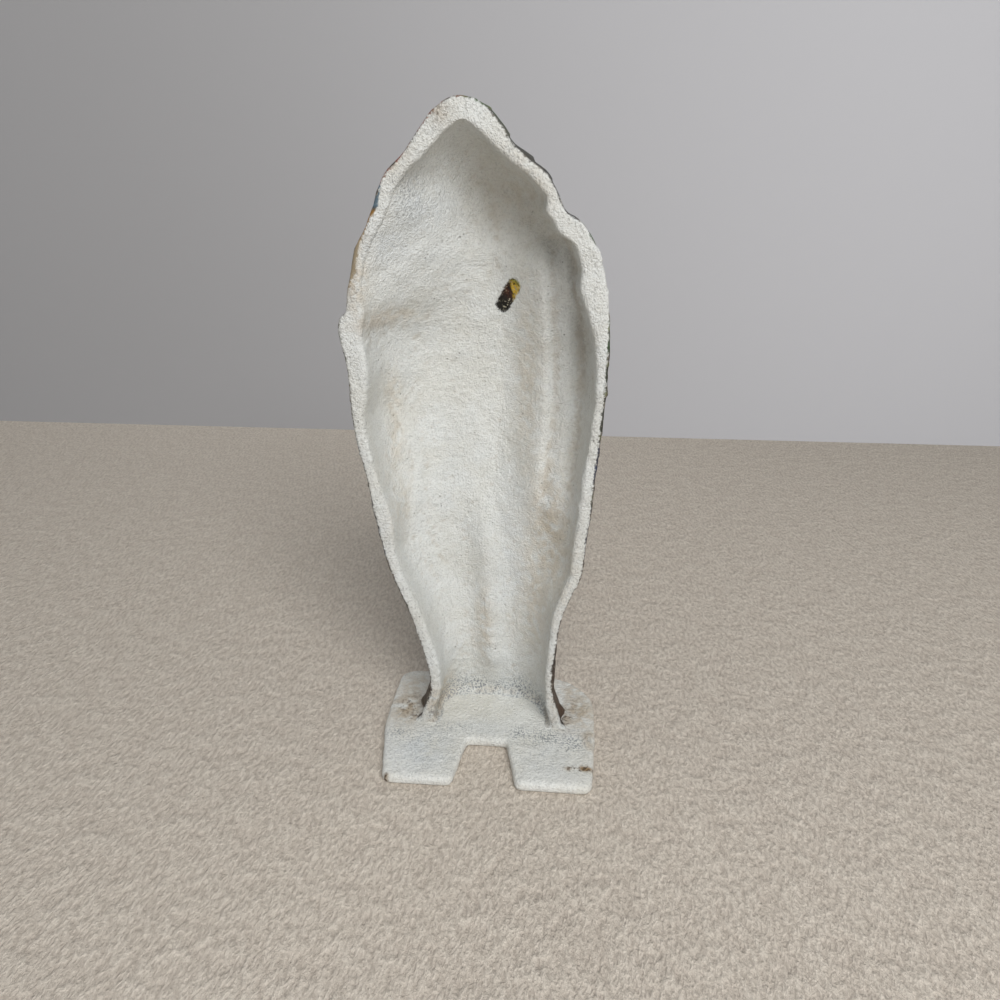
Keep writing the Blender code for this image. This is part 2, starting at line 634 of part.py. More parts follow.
def quills(side, inner_tip, forms):
    """The long flight feathers of one wing, each a little lower than the one inside it."""
    line = LEFT_LINE if side < 0.0 else RIGHT_LINE
    u = np.array((-0.5, -0.36, 0.1, 0.54))
    rise = np.array((3.9, 4.6, 4.0, 2.6))
    shares = np.array((0.0, 0.15, 0.5, 1.0))
    for number in range(8):
        step_down = 6.5 * (1.0 - dome(np.minimum(np.abs(2.0 * u), 1.0)))
        tip = np.clip(inner_tip - 6.0 * number, 75.0, 112.0) + step_down
        z = tip[None, :] + shares[:, None] * (QUILL_TOP - tip[None, :])
        out = (number + 0.5 + u[None, :]) * QUILL_WIDTH - 0.05 * (QUILL_TOP - z)
        out = np.maximum(out, 0.4 * np.arange(len(u))[None, :])
        start = wing_places(side, line, z, 0.0 * out, 1.0)
        ends = np.array([[section_at(h).reach(side) for h in row] for row in z])
        room = (ends - side * start - RIM_BAND - out).min(axis=0)
        keep = room > 0.0
        if np.count_nonzero(keep) < 3:
            break
        s = start + side * out
        height = rise[None, :] * (0.5 + 0.5 * ramp(out, 0.0, 5.0))
        name = "quill_%s_%d" % ("left" if side < 0.0 else "right", number)
        raised(name, z[:, keep], s[:, keep], height[:, keep], forms)


def perch(forms):
    """The round branch across the stump's top."""
    middle, half, rise = PERCH
    w = np.array((-1.03, -0.8, -0.32, 0.32, 0.8, 1.03))
    section = section_at(middle)
    s = np.linspace(section.s[0] + 2.8, section.s[-1] - 2.8, 20)
    wave = middle + 0.9 * np.sin(section.x_of(s) * 0.11 + 0.6)
    z = wave[None, :] + half * w[:, None]
    height = 2.2 + rise * dome(w)[:, None] + 0.0 * z
    height[0] = 1.6
    height[-1] = 1.6
    raised("perch", z, np.broadcast_to(s, z.shape), height, forms)


def toes(forms):
    """Four toes over the branch, each with its claw."""
    middle, half, rise = PERCH
    for number, (toe_x, lean) in enumerate(TOES):
        z = middle + np.array((-6.9, -4.1, 0.5, 5.0, 8.5, 13.5))
        u = np.array((-1.0, -0.55, 0.55, 1.0))
        z, u = np.meshgrid(z, u, indexing="ij")
        x = toe_x + lean * (middle + 4.5 - z) + 3.7 * u
        height = 5.4 * dome(0.9 * (z - middle) / half) + 1.8 + 2.4 * dome(0.94 * u)
        height[-1] = 0.8
        raised("toe_%d" % number, z, s_at(x, z), height, forms)
        z = middle + np.array((-13.9, -10.5, -5.0))
        u = np.array((-1.0, 0.0, 1.0))
        z, u = np.meshgrid(z, u, indexing="ij")
        half_width = np.interp(z - middle, (-13.9, -9.0, -5.0), (0.5, 1.7, 2.3))
        x = toe_x + lean * (middle + 4.5 - z) + half_width * u
        height = 4.4 + 1.9 * (1.0 - u * u) + 0.3 * (z - middle + 9.5)
        raised("claw_%d" % number, z, s_at(x, z), height, forms)


def tail(forms):
    """Four long tail feathers over the stump, with a furrow between the middle two."""
    for number, (offset, half, tip, rise) in enumerate(TAIL_FEATHERS):
        u = np.array((-1.0, -0.6, 0.0, 0.6, 1.0))
        edge = tip + 7.5 * (1.0 - dome(0.999 * u))
        shares = np.array((0.0, 0.3, 0.65, 1.0))
        z = edge[None, :] + shares[:, None] * (PERCH[0] + TAIL_TUCK - edge[None, :])
        middle = 1.6 + 0.028 * (90.0 - z)
        centre = middle + offset * (0.70 + 0.30 * ramp(z, 28.0, 95.0))
        x = centre + u[None, :] * half * (0.84 + 0.16 * ramp(z, 28.0, 80.0))
        if abs(offset) < half + 1.0:
            inner = np.sign(offset) * (x - middle)
            order = np.arange(len(u)) if offset > 0.0 else np.arange(len(u))[::-1]
            x = middle + np.sign(offset) * np.maximum(inner, 0.7 + 0.25 * order[None, :])
        height = rise + 1.1 * (1.0 - u[None, :] ** 2) + 0.0 * z
        raised("tail_feather_%d" % number, z, s_at(x, z), height, forms)


def bark(forms):
    """Upright strips of bark round the stump, and a knot."""
    z = PATTERN_BOTTOM + np.array(BARK_ROWS)
    share = np.array((0.03, 0.28, 0.7, 0.97))
    ridge = np.array((-0.1, 0.9, 0.95, -0.1))
    wander = 1.9 * np.sin(z * 0.071 + 0.5)
    for number in range(-8, 9):
        s = (number + share[None, :]) * BARK_WIDTH - wander[:, None]
        ends = np.array([(section_at(h).reach(-1.0), section_at(h).reach(1.0)) for h in z])
        if min((ends[:, 0] + s[:, 0]).min(), (ends[:, 1] - s[:, -1]).min()) < 2.5:
            continue
        grid = np.broadcast_to(z[:, None], s.shape)
        height = (BARK_HEIGHT + 0.5 * np.sin(number * 2.9)) * ridge[None, :]
        height = height + BREAST_LEVEL + roots(s, grid)
        raised("bark_%d" % (number + 8), grid, s, height, forms)
    x, z, radius = KNOT
    profile = ((0.0, 2.5), (0.4, 2.6), (0.7, 3.8), (1.0, 1.4))
    mound("knot", (x, z), round_outline(x, z, radius, 1.3 * radius, 10), profile, forms, True)


def face(forms):
    """The ruff, the bare cheek, and the eye with its brow."""
    x = np.arange(-20.0, 33.0, 2.6) + 2.0
    edge = 198.6 + 2.6 * np.abs(np.sin((x - 3.0) * np.pi / 10.4)) + 0.010 * (x - 10.0) ** 2
    z = np.array((edge, 213.0 + 0.0 * edge))
    x = np.array((x, x))
    height = np.array((2.5 + 0.0 * edge, 2.0 + 0.0 * edge))
    raised("ruff", z, s_at(x, z), height, forms)

    profile = ((0.0, 4.0), (0.5, 3.8), (0.85, 3.3), (1.0, 2.7))
    mound("cheek", CHEEK[:2], round_outline(*CHEEK, 18), profile, forms)
    profile = ((0.0, 6.0), (0.3, 5.7), (0.55, 4.4), (0.84, 4.9), (1.0, 3.6))
    mound("eye", EYE[:2], round_outline(*EYE, 12), profile, forms)
    x, w = np.meshgrid(np.array((3.0, 8.0, 13.0, 18.0, 23.0, 28.0, 32.0)), np.array((-1.0, 0.0, 1.0)))
    z = 245.0 - 0.012 * (x - 18.0) ** 2 + 2.3 * w
    height = 2.0 + 2.2 * (1.0 - np.abs(w)) * ramp(x, 2.0, 8.0) * ramp(-x, -33.0, -28.0)
    raised("brow", z, s_at(x, z), height, forms)


def beak(forms):
    """The hooked upper beak, from its root to the rim and the mouth, its cere, and the lower beak."""
    share = np.array((0.0, 0.2, 0.5, 0.8, 1.0))
    rows = np.array((0.0, 0.2, 0.45, 0.72, 1.0))
    z = np.zeros((len(rows), len(share)))
    x = np.zeros_like(z)
    for i, up in enumerate(rows):
        for j, part in enumerate(share):
            px = 36.0
            for repeat in range(12):
                low = float(along(MOUTH, px))
                pz = low + up * (BEAK_TOP - low)
                section = section_at(pz)
                start = float(along(BEAK_ROOT, pz))
                end = section.x_of(section.s[-1] - 2.6)
                px = start + part * (end - start)
            z[i, j] = pz
            x[i, j] = px
    out = x - along(BEAK_ROOT, z)
    height = 2.2 + 3.4 * dome(np.clip((out - 8.5) / 11.5, -1.0, 1.0))
    raised("upper_beak", z, s_at(x, z), height, forms)

    z = np.array((212.0, 219.0, 227.0, 233.5, 239.5))
    end = np.array([section_at(h).x_of(section_at(h).s[-1] - 3.6) for h in z])
    room = end - along(BEAK_ROOT, z)
    z, part = np.meshgrid(z, np.array((0.0, 0.5, 1.0)), indexing="ij")
    out = part * np.minimum((6.4 + 0.28 * (z - 226.0)) / 0.9, room[:, None])
    x = along(BEAK_ROOT, z) + out + 0.2
    height = 3.4 + 3.4 * dome(np.clip((out - 8.5) / 11.5, -1.0, 1.0))
    raised("cere", z, s_at(x, z), height, forms)

    x = np.linspace(30.2, 43.2, 7)
    reach = LOWER_BEAK[3] * dome((x - LOWER_BEAK[0]) / LOWER_BEAK[2])
    low = LOWER_BEAK[1] - reach
    high = np.minimum(along(MOUTH, x) - 0.9, LOWER_BEAK[1] + reach)
    high = np.maximum(high, low + 1.0)
    z = low[None, :] + np.array((0.0, 0.3, 0.7, 1.0))[:, None] * (high - low)[None, :]
    x = np.broadcast_to(x, z.shape)
    away = np.hypot((x - LOWER_BEAK[0]) / LOWER_BEAK[2], (z - LOWER_BEAK[1]) / LOWER_BEAK[3])
    height = 1.8 + 2.6 * dome(away)
    raised("lower_beak", z, s_at(x, z), height, forms)


def raise_forms(forms):
    """All raised forms of the carved front."""
    breast_rows(forms)
    covert_rows(-1.0, left_top, forms)
    covert_rows(1.0, right_top, forms)
    quills(-1.0, LEFT_QUILL_TIP, forms)
    quills(1.0, RIGHT_QUILL_TIP, forms)
    bark(forms)
    tail(forms)
    perch(forms)
    toes(forms)
    face(forms)
    beak(forms)


def outline_solid(name, points, low, high, collection):
    """A flat plate of a closed outline between two heights."""
    curve = bpy.data.curves.new(name, "CURVE")
    curve.dimensions = "2D"
    curve.fill_mode = "BOTH"
    curve.extrude = 0.5 * (high - low)
    spline = curve.splines.new("POLY")
    spline.points.add(len(points) - 1)
    for target, (x, y) in zip(spline.points, points):
        target.co = (x, y, 0.0, 1.0)
    spline.use_cyclic_u = True
    shape = bpy.data.objects.new(name + "_outline", curve)
    collection.objects.link(shape)
    shape.location = (0.0, 0.0, 0.5 * (low + high))
    bpy.context.view_layer.update()
    data = bpy.data.meshes.new_from_object(shape)
    data.transform(shape.matrix_world)
    data.name = name
    bpy.data.objects.remove(shape)
    mesh = bmesh.new()
    mesh.from_mesh(data)
    bmesh.ops.remove_doubles(mesh, verts=mesh.verts, dist=WELD_DISTANCE)
    bmesh.ops.dissolve_limit(mesh, angle_limit=0.0005, verts=mesh.verts, edges=mesh.edges)
    bmesh.ops.recalc_face_normals(mesh, faces=mesh.faces)
    mesh.to_mesh(data)
    mesh.free()
    solid = bpy.data.objects.new(name, data)
    collection.objects.link(solid)
    return solid


def rounded_corner(before, corner, after, radius, steps):
    """Points of an arc that rounds one corner of an outline."""
    corner = np.array(corner, dtype=float)
    to_before = np.array(before, dtype=float) - corner
    to_after = np.array(after, dtype=float) - corner
    to_before = to_before / np.linalg.norm(to_before)
    to_after = to_after / np.linalg.norm(to_after)
    half_angle = 0.5 * np.arccos(np.clip(np.dot(to_before, to_after), -1.0, 1.0))
    reach = radius / np.tan(half_angle)
    start = corner + to_before * reach
    end = corner + to_after * reach
    middle = to_before + to_after
    centre = corner + middle / np.linalg.norm(middle) * radius / np.sin(half_angle)
    first = start - centre
    last = end - centre
    sweep = np.arccos(np.clip(np.dot(first, last) / radius ** 2, -1.0, 1.0))
    points = []
    for k in range(steps + 1):
        u = k / steps
        arc = (np.sin((1.0 - u) * sweep) * first + np.sin(u * sweep) * last) / np.sin(sweep)
        points.append(tuple(centre + arc))
    return points


def foot_outline():
    """The foot plate from above: a D shape in front, two feet behind with a notch between them."""
    foot_left = along(LEFT_OUTLINE, PATTERN_BOTTOM) * STRETCH_X
    foot_right = along(RIGHT_OUTLINE, PATTERN_BOTTOM) * STRETCH_X
    left = foot_left - PLATE_LEFT_LEDGE
    right = foot_right + PLATE_RIGHT_LEDGE
    middle = 0.5 * (left + right)
    roots_front = (along(FRONT_DEPTH, PATTERN_BOTTOM) + ROOT_RELIEF) * STRETCH_Y
    front = -roots_front - PLATE_FRONT_LEDGE
    rear = FEET_REACH
    notch_front = rear - NOTCH_DEPTH
    notch_left = middle - 0.5 * NOTCH_WIDTH
    notch_right = middle + 0.5 * NOTCH_WIDTH
    corners = (
        (right - RIGHT_FOOT_TAPER, rear, FEET_CORNER_RADIUS, 5),
        (right, 0.0, SIDE_BEND_RADIUS, 3),
        (right, front, FRONT_RIGHT_RADIUS, 6),
        (left, front, FRONT_LEFT_RADIUS, 10),
        (left, 0.0, SIDE_BEND_RADIUS, 2),
        (left + LEFT_FOOT_TAPER, rear, FEET_CORNER_RADIUS, 5),
        (notch_left - NOTCH_LEFT_FLARE, rear, 1.5 * NOTCH_CORNER_RADIUS, 4),
        (notch_left, notch_front, NOTCH_CORNER_RADIUS, 4),
        (notch_right, notch_front, NOTCH_CORNER_RADIUS, 4),
        (notch_right + NOTCH_RIGHT_FLARE, rear, 1.2 * NOTCH_CORNER_RADIUS, 4),
    )
    points = []
    for i, (x, y, radius, steps) in enumerate(corners):
        before = corners[i - 1][:2]
        after = corners[(i + 1) % len(corners)][:2]
        points += rounded_corner(before, (x, y), after, radius, steps)
    return points


def cut(target, cutter):
    """Take the cutter's volume out of the target."""
    modifier = target.modifiers.new("cut_" + cutter.name, "BOOLEAN")
    modifier.operation = "DIFFERENCE"
    modifier.solver = "EXACT"
    modifier.object = cutter


def weld(solid, distance):
    """Join points that a cut left on top of each other."""
    modifier = solid.modifiers.new("weld", "WELD")
    modifier.merge_threshold = distance


def smooth_by_angle(solid, angle):
    """Round forms shade smoothly, and corners sharper than the angle stay crisp."""
    mesh = solid.data
    for face in mesh.polygons:
        face.use_smooth = True
    mesh.set_sharp_from_angle(angle=angle)


def iron(name, colour, roughness):
    """Painted cast iron."""
    material = bpy.data.materials.new(name)
    material.use_nodes = True
    shader = material.node_tree.nodes["Principled BSDF"]
    shader.inputs["Base Color"].default_value = colour
    shader.inputs["Roughness"].default_value = roughness
    shader.inputs["Metallic"].default_value = 0.0
    return material


def pocket_cutter(collection):
    """A slanted oblong plug that reaches the set depth into the hollow's front wall."""
    pocket_x, z = POCKET_CENTRE
    centre = along(DEEPEST_LINE, z)
    left = along(LEFT_OUTLINE, z) + along(LEFT_RIM, z) * RIM_STEP
    t = np.array((pocket_x - centre) / (centre - left))
    floor = float(core_depth(z) * core_shape(t, z) + core_relief(np.array(pocket_x), z)) * STRETCH_Y
    half_straight = 0.5 * (POCKET_LENGTH - POCKET_WIDTH)
    radius = 0.5 * POCKET_WIDTH
    levels = (
        (-floor + POCKET_OVERRUN, 1.0),
        (-floor - 0.6 * POCKET_DEPTH, 0.92),
        (-floor - POCKET_DEPTH, 0.7),
    )
    rings = []
    for y, shrink in levels:
        ring = []
        for end, start_angle in ((1.0, 0.0), (-1.0, np.pi)):
            for k in range(7):
                angle = start_angle + np.pi * k / 6.0
                u = radius * shrink * np.cos(angle)
                v = end * half_straight + radius * shrink * np.sin(angle)
                x = pocket_x * STRETCH_X + u * np.cos(POCKET_TILT) - v * np.sin(POCKET_TILT)
                height = world_z(z) + u * np.sin(POCKET_TILT) + v * np.cos(POCKET_TILT)
                ring.append((x, y, height))
        rings.append(ring)
    return loft("pocket_plug", rings, collection)


def row_heights():
    """Rows of the front: closest at the roots, in the fold below the beak and at the crown."""
    foot = PATTERN_BOTTOM + np.array((0.0, 3.0, 7.0, 12.0, 18.0, 25.0))
    stump = np.linspace(foot[-1], PERCH[0] - PERCH[1], 6)[1:]
    branch = np.linspace(PERCH[0] - PERCH[1], PERCH[0] + PERCH[1], 4)[1:]
    body = np.linspace(branch[-1], RIGHT_SHOULDER - 4.0, 11)[1:]
    neck = np.linspace(body[-1], RIGHT_SHOULDER + 20.0, 8)[1:]
    head = np.linspace(neck[-1], CORE_SHOULDER, 6)[1:]
    closing = np.sin(np.linspace(0.0, 0.5 * np.pi, 8)[1:])
    crown = CORE_SHOULDER + (PATTERN_TOP - CORE_SHOULDER) * closing
    return np.concatenate((foot, stump, branch, body, neck, head, crown))


def core_heights():
    """Rows of the core: from below the figure's foot to the top of the hollow."""
    body = np.linspace(-4.0, CORE_SHOULDER, CORE_ROWS - 7)
    closing = np.sin(np.linspace(0.0, 0.5 * np.pi, 8))[1:]
    top = CORE_SHOULDER + (CORE_TOP - CORE_SHOULDER) * closing
    return np.concatenate((body, top))


def build():
    for item in list(bpy.data.objects):
        bpy.data.objects.remove(item, do_unlink=True)

    parts = bpy.data.collections.new("cast_iron_doorstop")
    forms = bpy.data.collections.new("raised_forms")
    cutters = bpy.data.collections.new("cutters")
    for collection in (parts, forms, cutters):
        bpy.context.scene.collection.children.link(collection)

    # The figure: a plain front with its raised forms, less the core of the hollow and the pocket
    sections = [front_section(z) for z in row_heights()]
    figure = loft("figure_shell", sections, parts)
    core = loft("hollow_core", [core_section(z, CORE_COLUMNS) for z in core_heights()], cutters)
    pocket = pocket_cutter(cutters)
    raise_forms(forms)
    smooth_by_angle(figure, 1.3)
    join = figure.modifiers.new("raised_forms", "BOOLEAN")
    join.operation = "UNION"
    join.solver = "EXACT"
    join.operand_type = "COLLECTION"
    join.collection = forms
    cut(figure, core)
    cut(figure, pocket)
    weld(figure, WELD_DISTANCE)
    figure.data.materials.clear()
    figure.data.materials.append(iron("painted_iron_figure", (0.62, 0.60, 0.54, 1.0), 0.7))

    # The foot plate, with its upper and lower edges rounded as cast
    plate = outline_solid("foot_plate", foot_outline(), 0.0, PLATE_THICKNESS, parts)
    bevel = plate.modifiers.new("edge_round", "BEVEL")
    bevel.width = PLATE_EDGE_ROUND
    bevel.segments = 2
    bevel.limit_method = "ANGLE"
    bevel.angle_limit = 1.2
    smooth_by_angle(plate, 0.6)
    plate.data.materials.clear()
    plate.data.materials.append(iron("painted_iron_plate", (0.66, 0.63, 0.55, 1.0), 0.7))

    for tool in (core, pocket, *forms.objects):
        tool.hide_render = True
        tool.display_type = "WIRE"


build()
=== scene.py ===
"""Looks of the cast iron doorstop: a parrot on a perch, a hollow half figure on a foot plate.

The photograph shows the open back. Lengths here are in millimetres in the CAD's own frame (x to the
right seen from the front, y towards the open back, z up) and become metres where meshes are made.
"""

import bmesh
import bpy
import numpy as np
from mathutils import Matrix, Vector


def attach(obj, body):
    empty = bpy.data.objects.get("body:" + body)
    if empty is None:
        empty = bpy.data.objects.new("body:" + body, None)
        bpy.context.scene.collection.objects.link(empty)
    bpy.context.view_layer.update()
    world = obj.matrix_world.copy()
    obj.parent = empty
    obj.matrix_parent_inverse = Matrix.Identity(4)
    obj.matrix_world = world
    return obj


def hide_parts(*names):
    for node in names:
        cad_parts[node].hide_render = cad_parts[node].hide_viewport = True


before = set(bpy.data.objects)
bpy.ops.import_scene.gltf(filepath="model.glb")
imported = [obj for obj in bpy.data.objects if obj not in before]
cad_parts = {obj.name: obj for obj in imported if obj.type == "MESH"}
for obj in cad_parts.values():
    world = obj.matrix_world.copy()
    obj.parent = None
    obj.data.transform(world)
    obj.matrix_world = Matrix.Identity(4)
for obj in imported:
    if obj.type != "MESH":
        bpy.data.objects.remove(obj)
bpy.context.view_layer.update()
scene = bpy.context.scene

MM = 0.001

# The casting's pattern, as (height, value) pairs: outline, depth and roundness of the figure

PATTERN_BOTTOM = 5.3
PATTERN_TOP = 270.5
PLATE_TOP = 5

LEFT_OUTLINE = (
    (5.3, -34.2), (12, -32.6), (22, -30.6), (31, -30), (41, -30.3), (55, -31.3),
    (65.4, -33), (77.4, -37.2), (87, -40.7), (102.6, -42.1), (116, -43.5), (132, -44.5),
    (143, -45.6), (155, -46.4), (170, -47.2), (187, -47.3), (199, -46.1), (210.5, -44.3),
    (219, -41.5), (226.5, -37.3), (229.6, -34.2), (231.4, -31.3), (233.7, -28.8), (239.5, -26),
    (244.4, -22.8), (249, -17.3), (254.5, -10.4), (261, -5.8), (266.4, -1.3), (269.6, 3.6),
    (270.4, 7.6), (270.5, 8.8),
)
RIGHT_OUTLINE = (
    (5.3, 33.2), (15, 30.5), (25, 28), (33, 28), (43, 30), (52, 32.5),
    (63, 35.5), (76, 40.5), (88, 44.5), (101, 47.3), (112, 49), (127, 51),
    (138, 53), (147, 54.7), (160, 55.4), (172, 56), (182, 57), (190, 58.2),
    (193.6, 57.6), (196.6, 54.8), (203.5, 53.6), (211.5, 52), (219, 50), (227.6, 45),
    (233, 42.4), (241, 39.5), (246.6, 36.3), (250.5, 32), (255.4, 27.3), (262, 22.3),
    (268, 16), (270.2, 10.8), (270.5, 8.8),
)
DEEPEST_LINE = (
    (5.3, 0), (60, 1), (90, 3), (120, 4), (150, 5), (180, 5), (200, 3),
    (220, -1), (235, 0), (250, 3.5), (262, 8), (270.5, 8.8),
)
FRONT_DEPTH = (
    (5.3, 33.5), (15, 31.5), (30, 30.5), (50, 31.5), (70, 33), (80, 35), (87, 35),
    (93, 34), (102, 35.5), (112, 38), (128, 41), (150, 44), (170, 45.5),
    (185, 45), (197, 42.5), (205, 40.5), (214, 41), (228, 42), (240, 40),
    (249, 35), (257, 28), (263, 21), (267, 14.5), (269.5, 8.5), (270.3, 4.5),
    (270.5, 3),
)
LEFT_FULLNESS = ((5.3, 3), (90, 2.8), (150, 2.7), (205, 2.7), (235, 2.4), (270.5, 2.2))
RIGHT_FULLNESS = (
    (5.3, 3), (90, 2.8), (150, 2.7), (185, 2.6), (200, 1.8), (212, 1.45), (232, 1.4),
    (246, 1.7), (270.5, 2.2),
)

# The hollow behind it

CORE_TOP = 262.9
CORE_SHOULDER = 253
WALL = 5.4
RIM_STEP = 5
LIP = 1.2
INNER_LIP = 2
LEFT_CORE_FULLNESS = (
    (0, 2.4), (50, 2), (108, 1.95), (138, 3.2), (190, 3.6), (235, 3), (262.9, 2.2),
)
RIGHT_CORE_FULLNESS = (
    (0, 3.4), (90, 3.3), (150, 3.2), (180, 2.9), (192, 2.3), (204, 1.7), (216, 1.6),
    (238, 1.6), (250, 1.8), (262.9, 2),
)
RIGHT_CORE_SOFTNESS = (
    (0, 0.29), (150, 0.31), (174, 0.39), (192, 0.66), (208, 1.1), (232, 1.25),
    (246, 0.85), (256, 0.55), (262.9, 0.5),
)
LEFT_RIM = (
    (0, 1), (10, 0.95), (25, 0.75), (48, 0.65), (74, 0.9), (103, 1), (130, 1),
    (148, 0.9), (164, 0.8), (184, 1.06), (195, 1.45), (206, 1.9), (213, 1.6),
    (222, 1.55), (226, 2.2), (232, 1.6), (238, 0.95), (246, 1.45), (256, 1.5),
    (262.9, 1.5),
)
RIGHT_RIM = (
    (0, 1.1), (25, 1.05), (48, 1), (74, 0.95), (91, 0.93), (100, 1.15), (109.7, 1.38),
    (119, 1.1), (128, 0.88), (142, 0.83), (153, 0.87), (162, 1.22), (173.5, 1.6),
    (186, 1.6), (195, 1.6), (207, 0.9), (222, 0.95), (238, 1.2), (250, 1.6),
    (256, 1.7), (262.9, 1.7),
)
LEG_FURROW = ((5, -1), (25, 0), (52, 1.4), (72, 2.6), (92, 4), (104, 5))
POCKET_CENTRE = (-5.6, 199.2)
POCKET_TILT = 0.5
POCKET_HALF_LENGTH = 4.65
POCKET_RADIUS = 2.6
POCKET_DEPTH = 2.6

# The front's drawing: the wings' edges and the beak's root as (height, x), the mouth as (x, height)

LEFT_LINE = (
    (60, -23), (78, -25.5), (92, -26), (104, -25), (120, -23), (143, -21.9),
    (172, -21), (205, -20.3), (232, -19.5),
)
RIGHT_LINE = (
    (60, 25), (78, 31), (92, 36), (104, 37.5), (120, 38.5), (143, 40.3),
    (172, 41.5), (188, 43), (200, 44),
)
BEAK_ROOT = (
    (196, 40), (202, 36.5), (208, 33.5), (214, 31), (221, 29.5), (229, 30.5),
    (236, 33.5), (241, 37), (246, 42),
)
MOUTH = (
    (28, 212.8), (33, 212.6), (37, 211.4), (42, 207.6), (46, 202.4), (50, 198),
    (56, 194.6),
)
COVERT_ROWS = (232, 222.5, 213, 203.5, 193.5, 182.5, 170, 155)
COVERT_WIDTH = 12
QUILL_WIDTH = 9.4
BREAST_FEATHER = (13, 10.8)
BREAST_START = 360
BARK_WIDTH = 8.6
PERCH_HEIGHT = 85.5
PERCH_HALF = 7.2

# Forms of the front, as (x, height) and two radii where there are four numbers

THIGHS = ((-11.5, 109, 15, 20), (18.5, 109, 15, 20))
KNOT = (-33, 52)
HEAD_CENTRE = (27, 213)
CHEEK = (18.5, 230, 15, 15.6)
EYE = (16.5, 236.5)
NOSTRIL = (35.5, 231.5, 1.9, 1.5)
LOWER_BEAK = (37, 207, 9.5, 7.6)

# Toes as (x, lean); tail feathers as (x from the middle, half width, tip's height, lies on top)

TOES = ((-17.6, -0.12), (-8.2, 0.08), (14.2, -0.08), (23.6, 0.12))
TAIL_FEATHERS = (
    (-15.6, 5.4, 40, False), (15.6, 5.4, 43, False), (-6.7, 6.2, 25, True), (6.7, 6.2, 27.5, True),
)

# How far the sides of the carving are let in, so that it stays within the figure's outline

LET_IN = (
    (5.3, 2.4), (24, 2.6), (76, 2), (81, 5.4), (90, 5.4), (97, 4.6), (190, 5),
    (215, 5.2), (232, 4.6), (246, 3.4), (262, 2.4),
)
EDGE_FADE = 9


def rgb(red, green, blue):
    """Linear colour of an sRGB one."""
    c = np.array((red, green, blue)) / 255
    return np.where(c <= 0.04045, c / 12.92, ((c + 0.055) / 1.055) ** 2.4)


# Old enamel colours, somewhat faded

GREEN_DARK = rgb(24, 42, 28)
GREEN = rgb(58, 90, 44)
YELLOW_GREEN = rgb(150, 152, 76)
YELLOW = rgb(206, 160, 58)
ORANGE = rgb(180, 92, 40)
RED = rgb(142, 38, 30)
PINK = rgb(180, 88, 74)
BLUE = rgb(42, 64, 104)
BLUE_DARK = rgb(19, 25, 42)
LIGHT_BLUE = rgb(108, 142, 164)
BLACK = rgb(20, 19, 19)
BONE = rgb(204, 194, 168)
BROWN_DARK = rgb(36, 27, 22)
BROWN = rgb(80, 57, 40)
GREY = rgb(92, 89, 82)
CREAM = rgb(206, 198, 176)


def along(table, places):
    """Smoothly interpolated values of a (place, value) table, without overshoot."""
    knots, values = np.array(table, dtype=float).T
    steps = np.diff(knots)
    slopes = np.diff(values) / steps
    tangents = np.zeros_like(values)
    same_way = slopes[:-1] * slopes[1:] > 0
    total = np.where(same_way, slopes[:-1] + slopes[1:], 1)
    tangents[1:-1] = np.where(same_way, 2 * slopes[:-1] * slopes[1:] / total, 0)
    tangents[0] = slopes[0]
    tangents[-1] = slopes[-1]
    h = np.clip(np.asarray(places, dtype=float), knots[0], knots[-1])
    i = np.clip(np.searchsorted(knots, h) - 1, 0, len(steps) - 1)
    u = (h - knots[i]) / steps[i]
    start = values[i] * (1 + 2 * u) * (1 - u) ** 2
    end = values[i + 1] * u * u * (3 - 2 * u)
    leave = tangents[i] * steps[i] * u * (1 - u) ** 2
    arrive = tangents[i + 1] * steps[i] * u * u * (u - 1)
    return start + end + leave + arrive


def ramp(value, low, high):
    """0 below low, 1 above high, and a smooth step between them."""
    u = np.clip((value - low) / (high - low), 0, 1)
    return u * u * (3 - 2 * u)


def fall(value, low, high):
    """1 below low, 0 above high, and a smooth step between them."""
    return ramp(-value, -high, -low)


def line(distance, width):
    """A soft line: 1 where the distance is 0."""
    return np.exp(-((distance / width) ** 2))


def dome(away):
    """A rounded boss: 1 at 0, and 0 from 1 on."""
    return np.sqrt(np.clip(1 - away ** 2, 0, 1))


def from_centre(x, z, oval):
    """Distance from an oval's centre: 1 on its edge."""
    return np.hypot((x - oval[0]) / oval[2], (z - oval[1]) / oval[3])


class Art:
    """The front's carving height in millimetres and its paint, laid on in layers by masks."""

    def __init__(self, shape):
        self.height = np.zeros(shape)
        self.colour = np.zeros(shape + (3,))

    def lay(self, mask, height, colour):
        """Cover what is there with a height and a colour."""
        self.height = self.height * (1 - mask) + height * mask
        self.tint(mask, colour)

    def raise_by(self, height):
        self.height = self.height + height

    def tint(self, mask, colour):
        m = np.clip(mask, 0, 1)[..., None]
        self.colour = self.colour * (1 - m) + colour * m

    def shade(self, mask, keep):
        """Darken what is there."""
        m = np.clip(mask, 0, 1)[..., None]
        self.colour = self.colour * (1 - m * (1 - keep))


def blend(first, second, mask):
    """Mix of two colours or colour fields by a mask."""
    m = np.clip(mask, 0, 1)[..., None]
    return first * (1 - m) + second * m


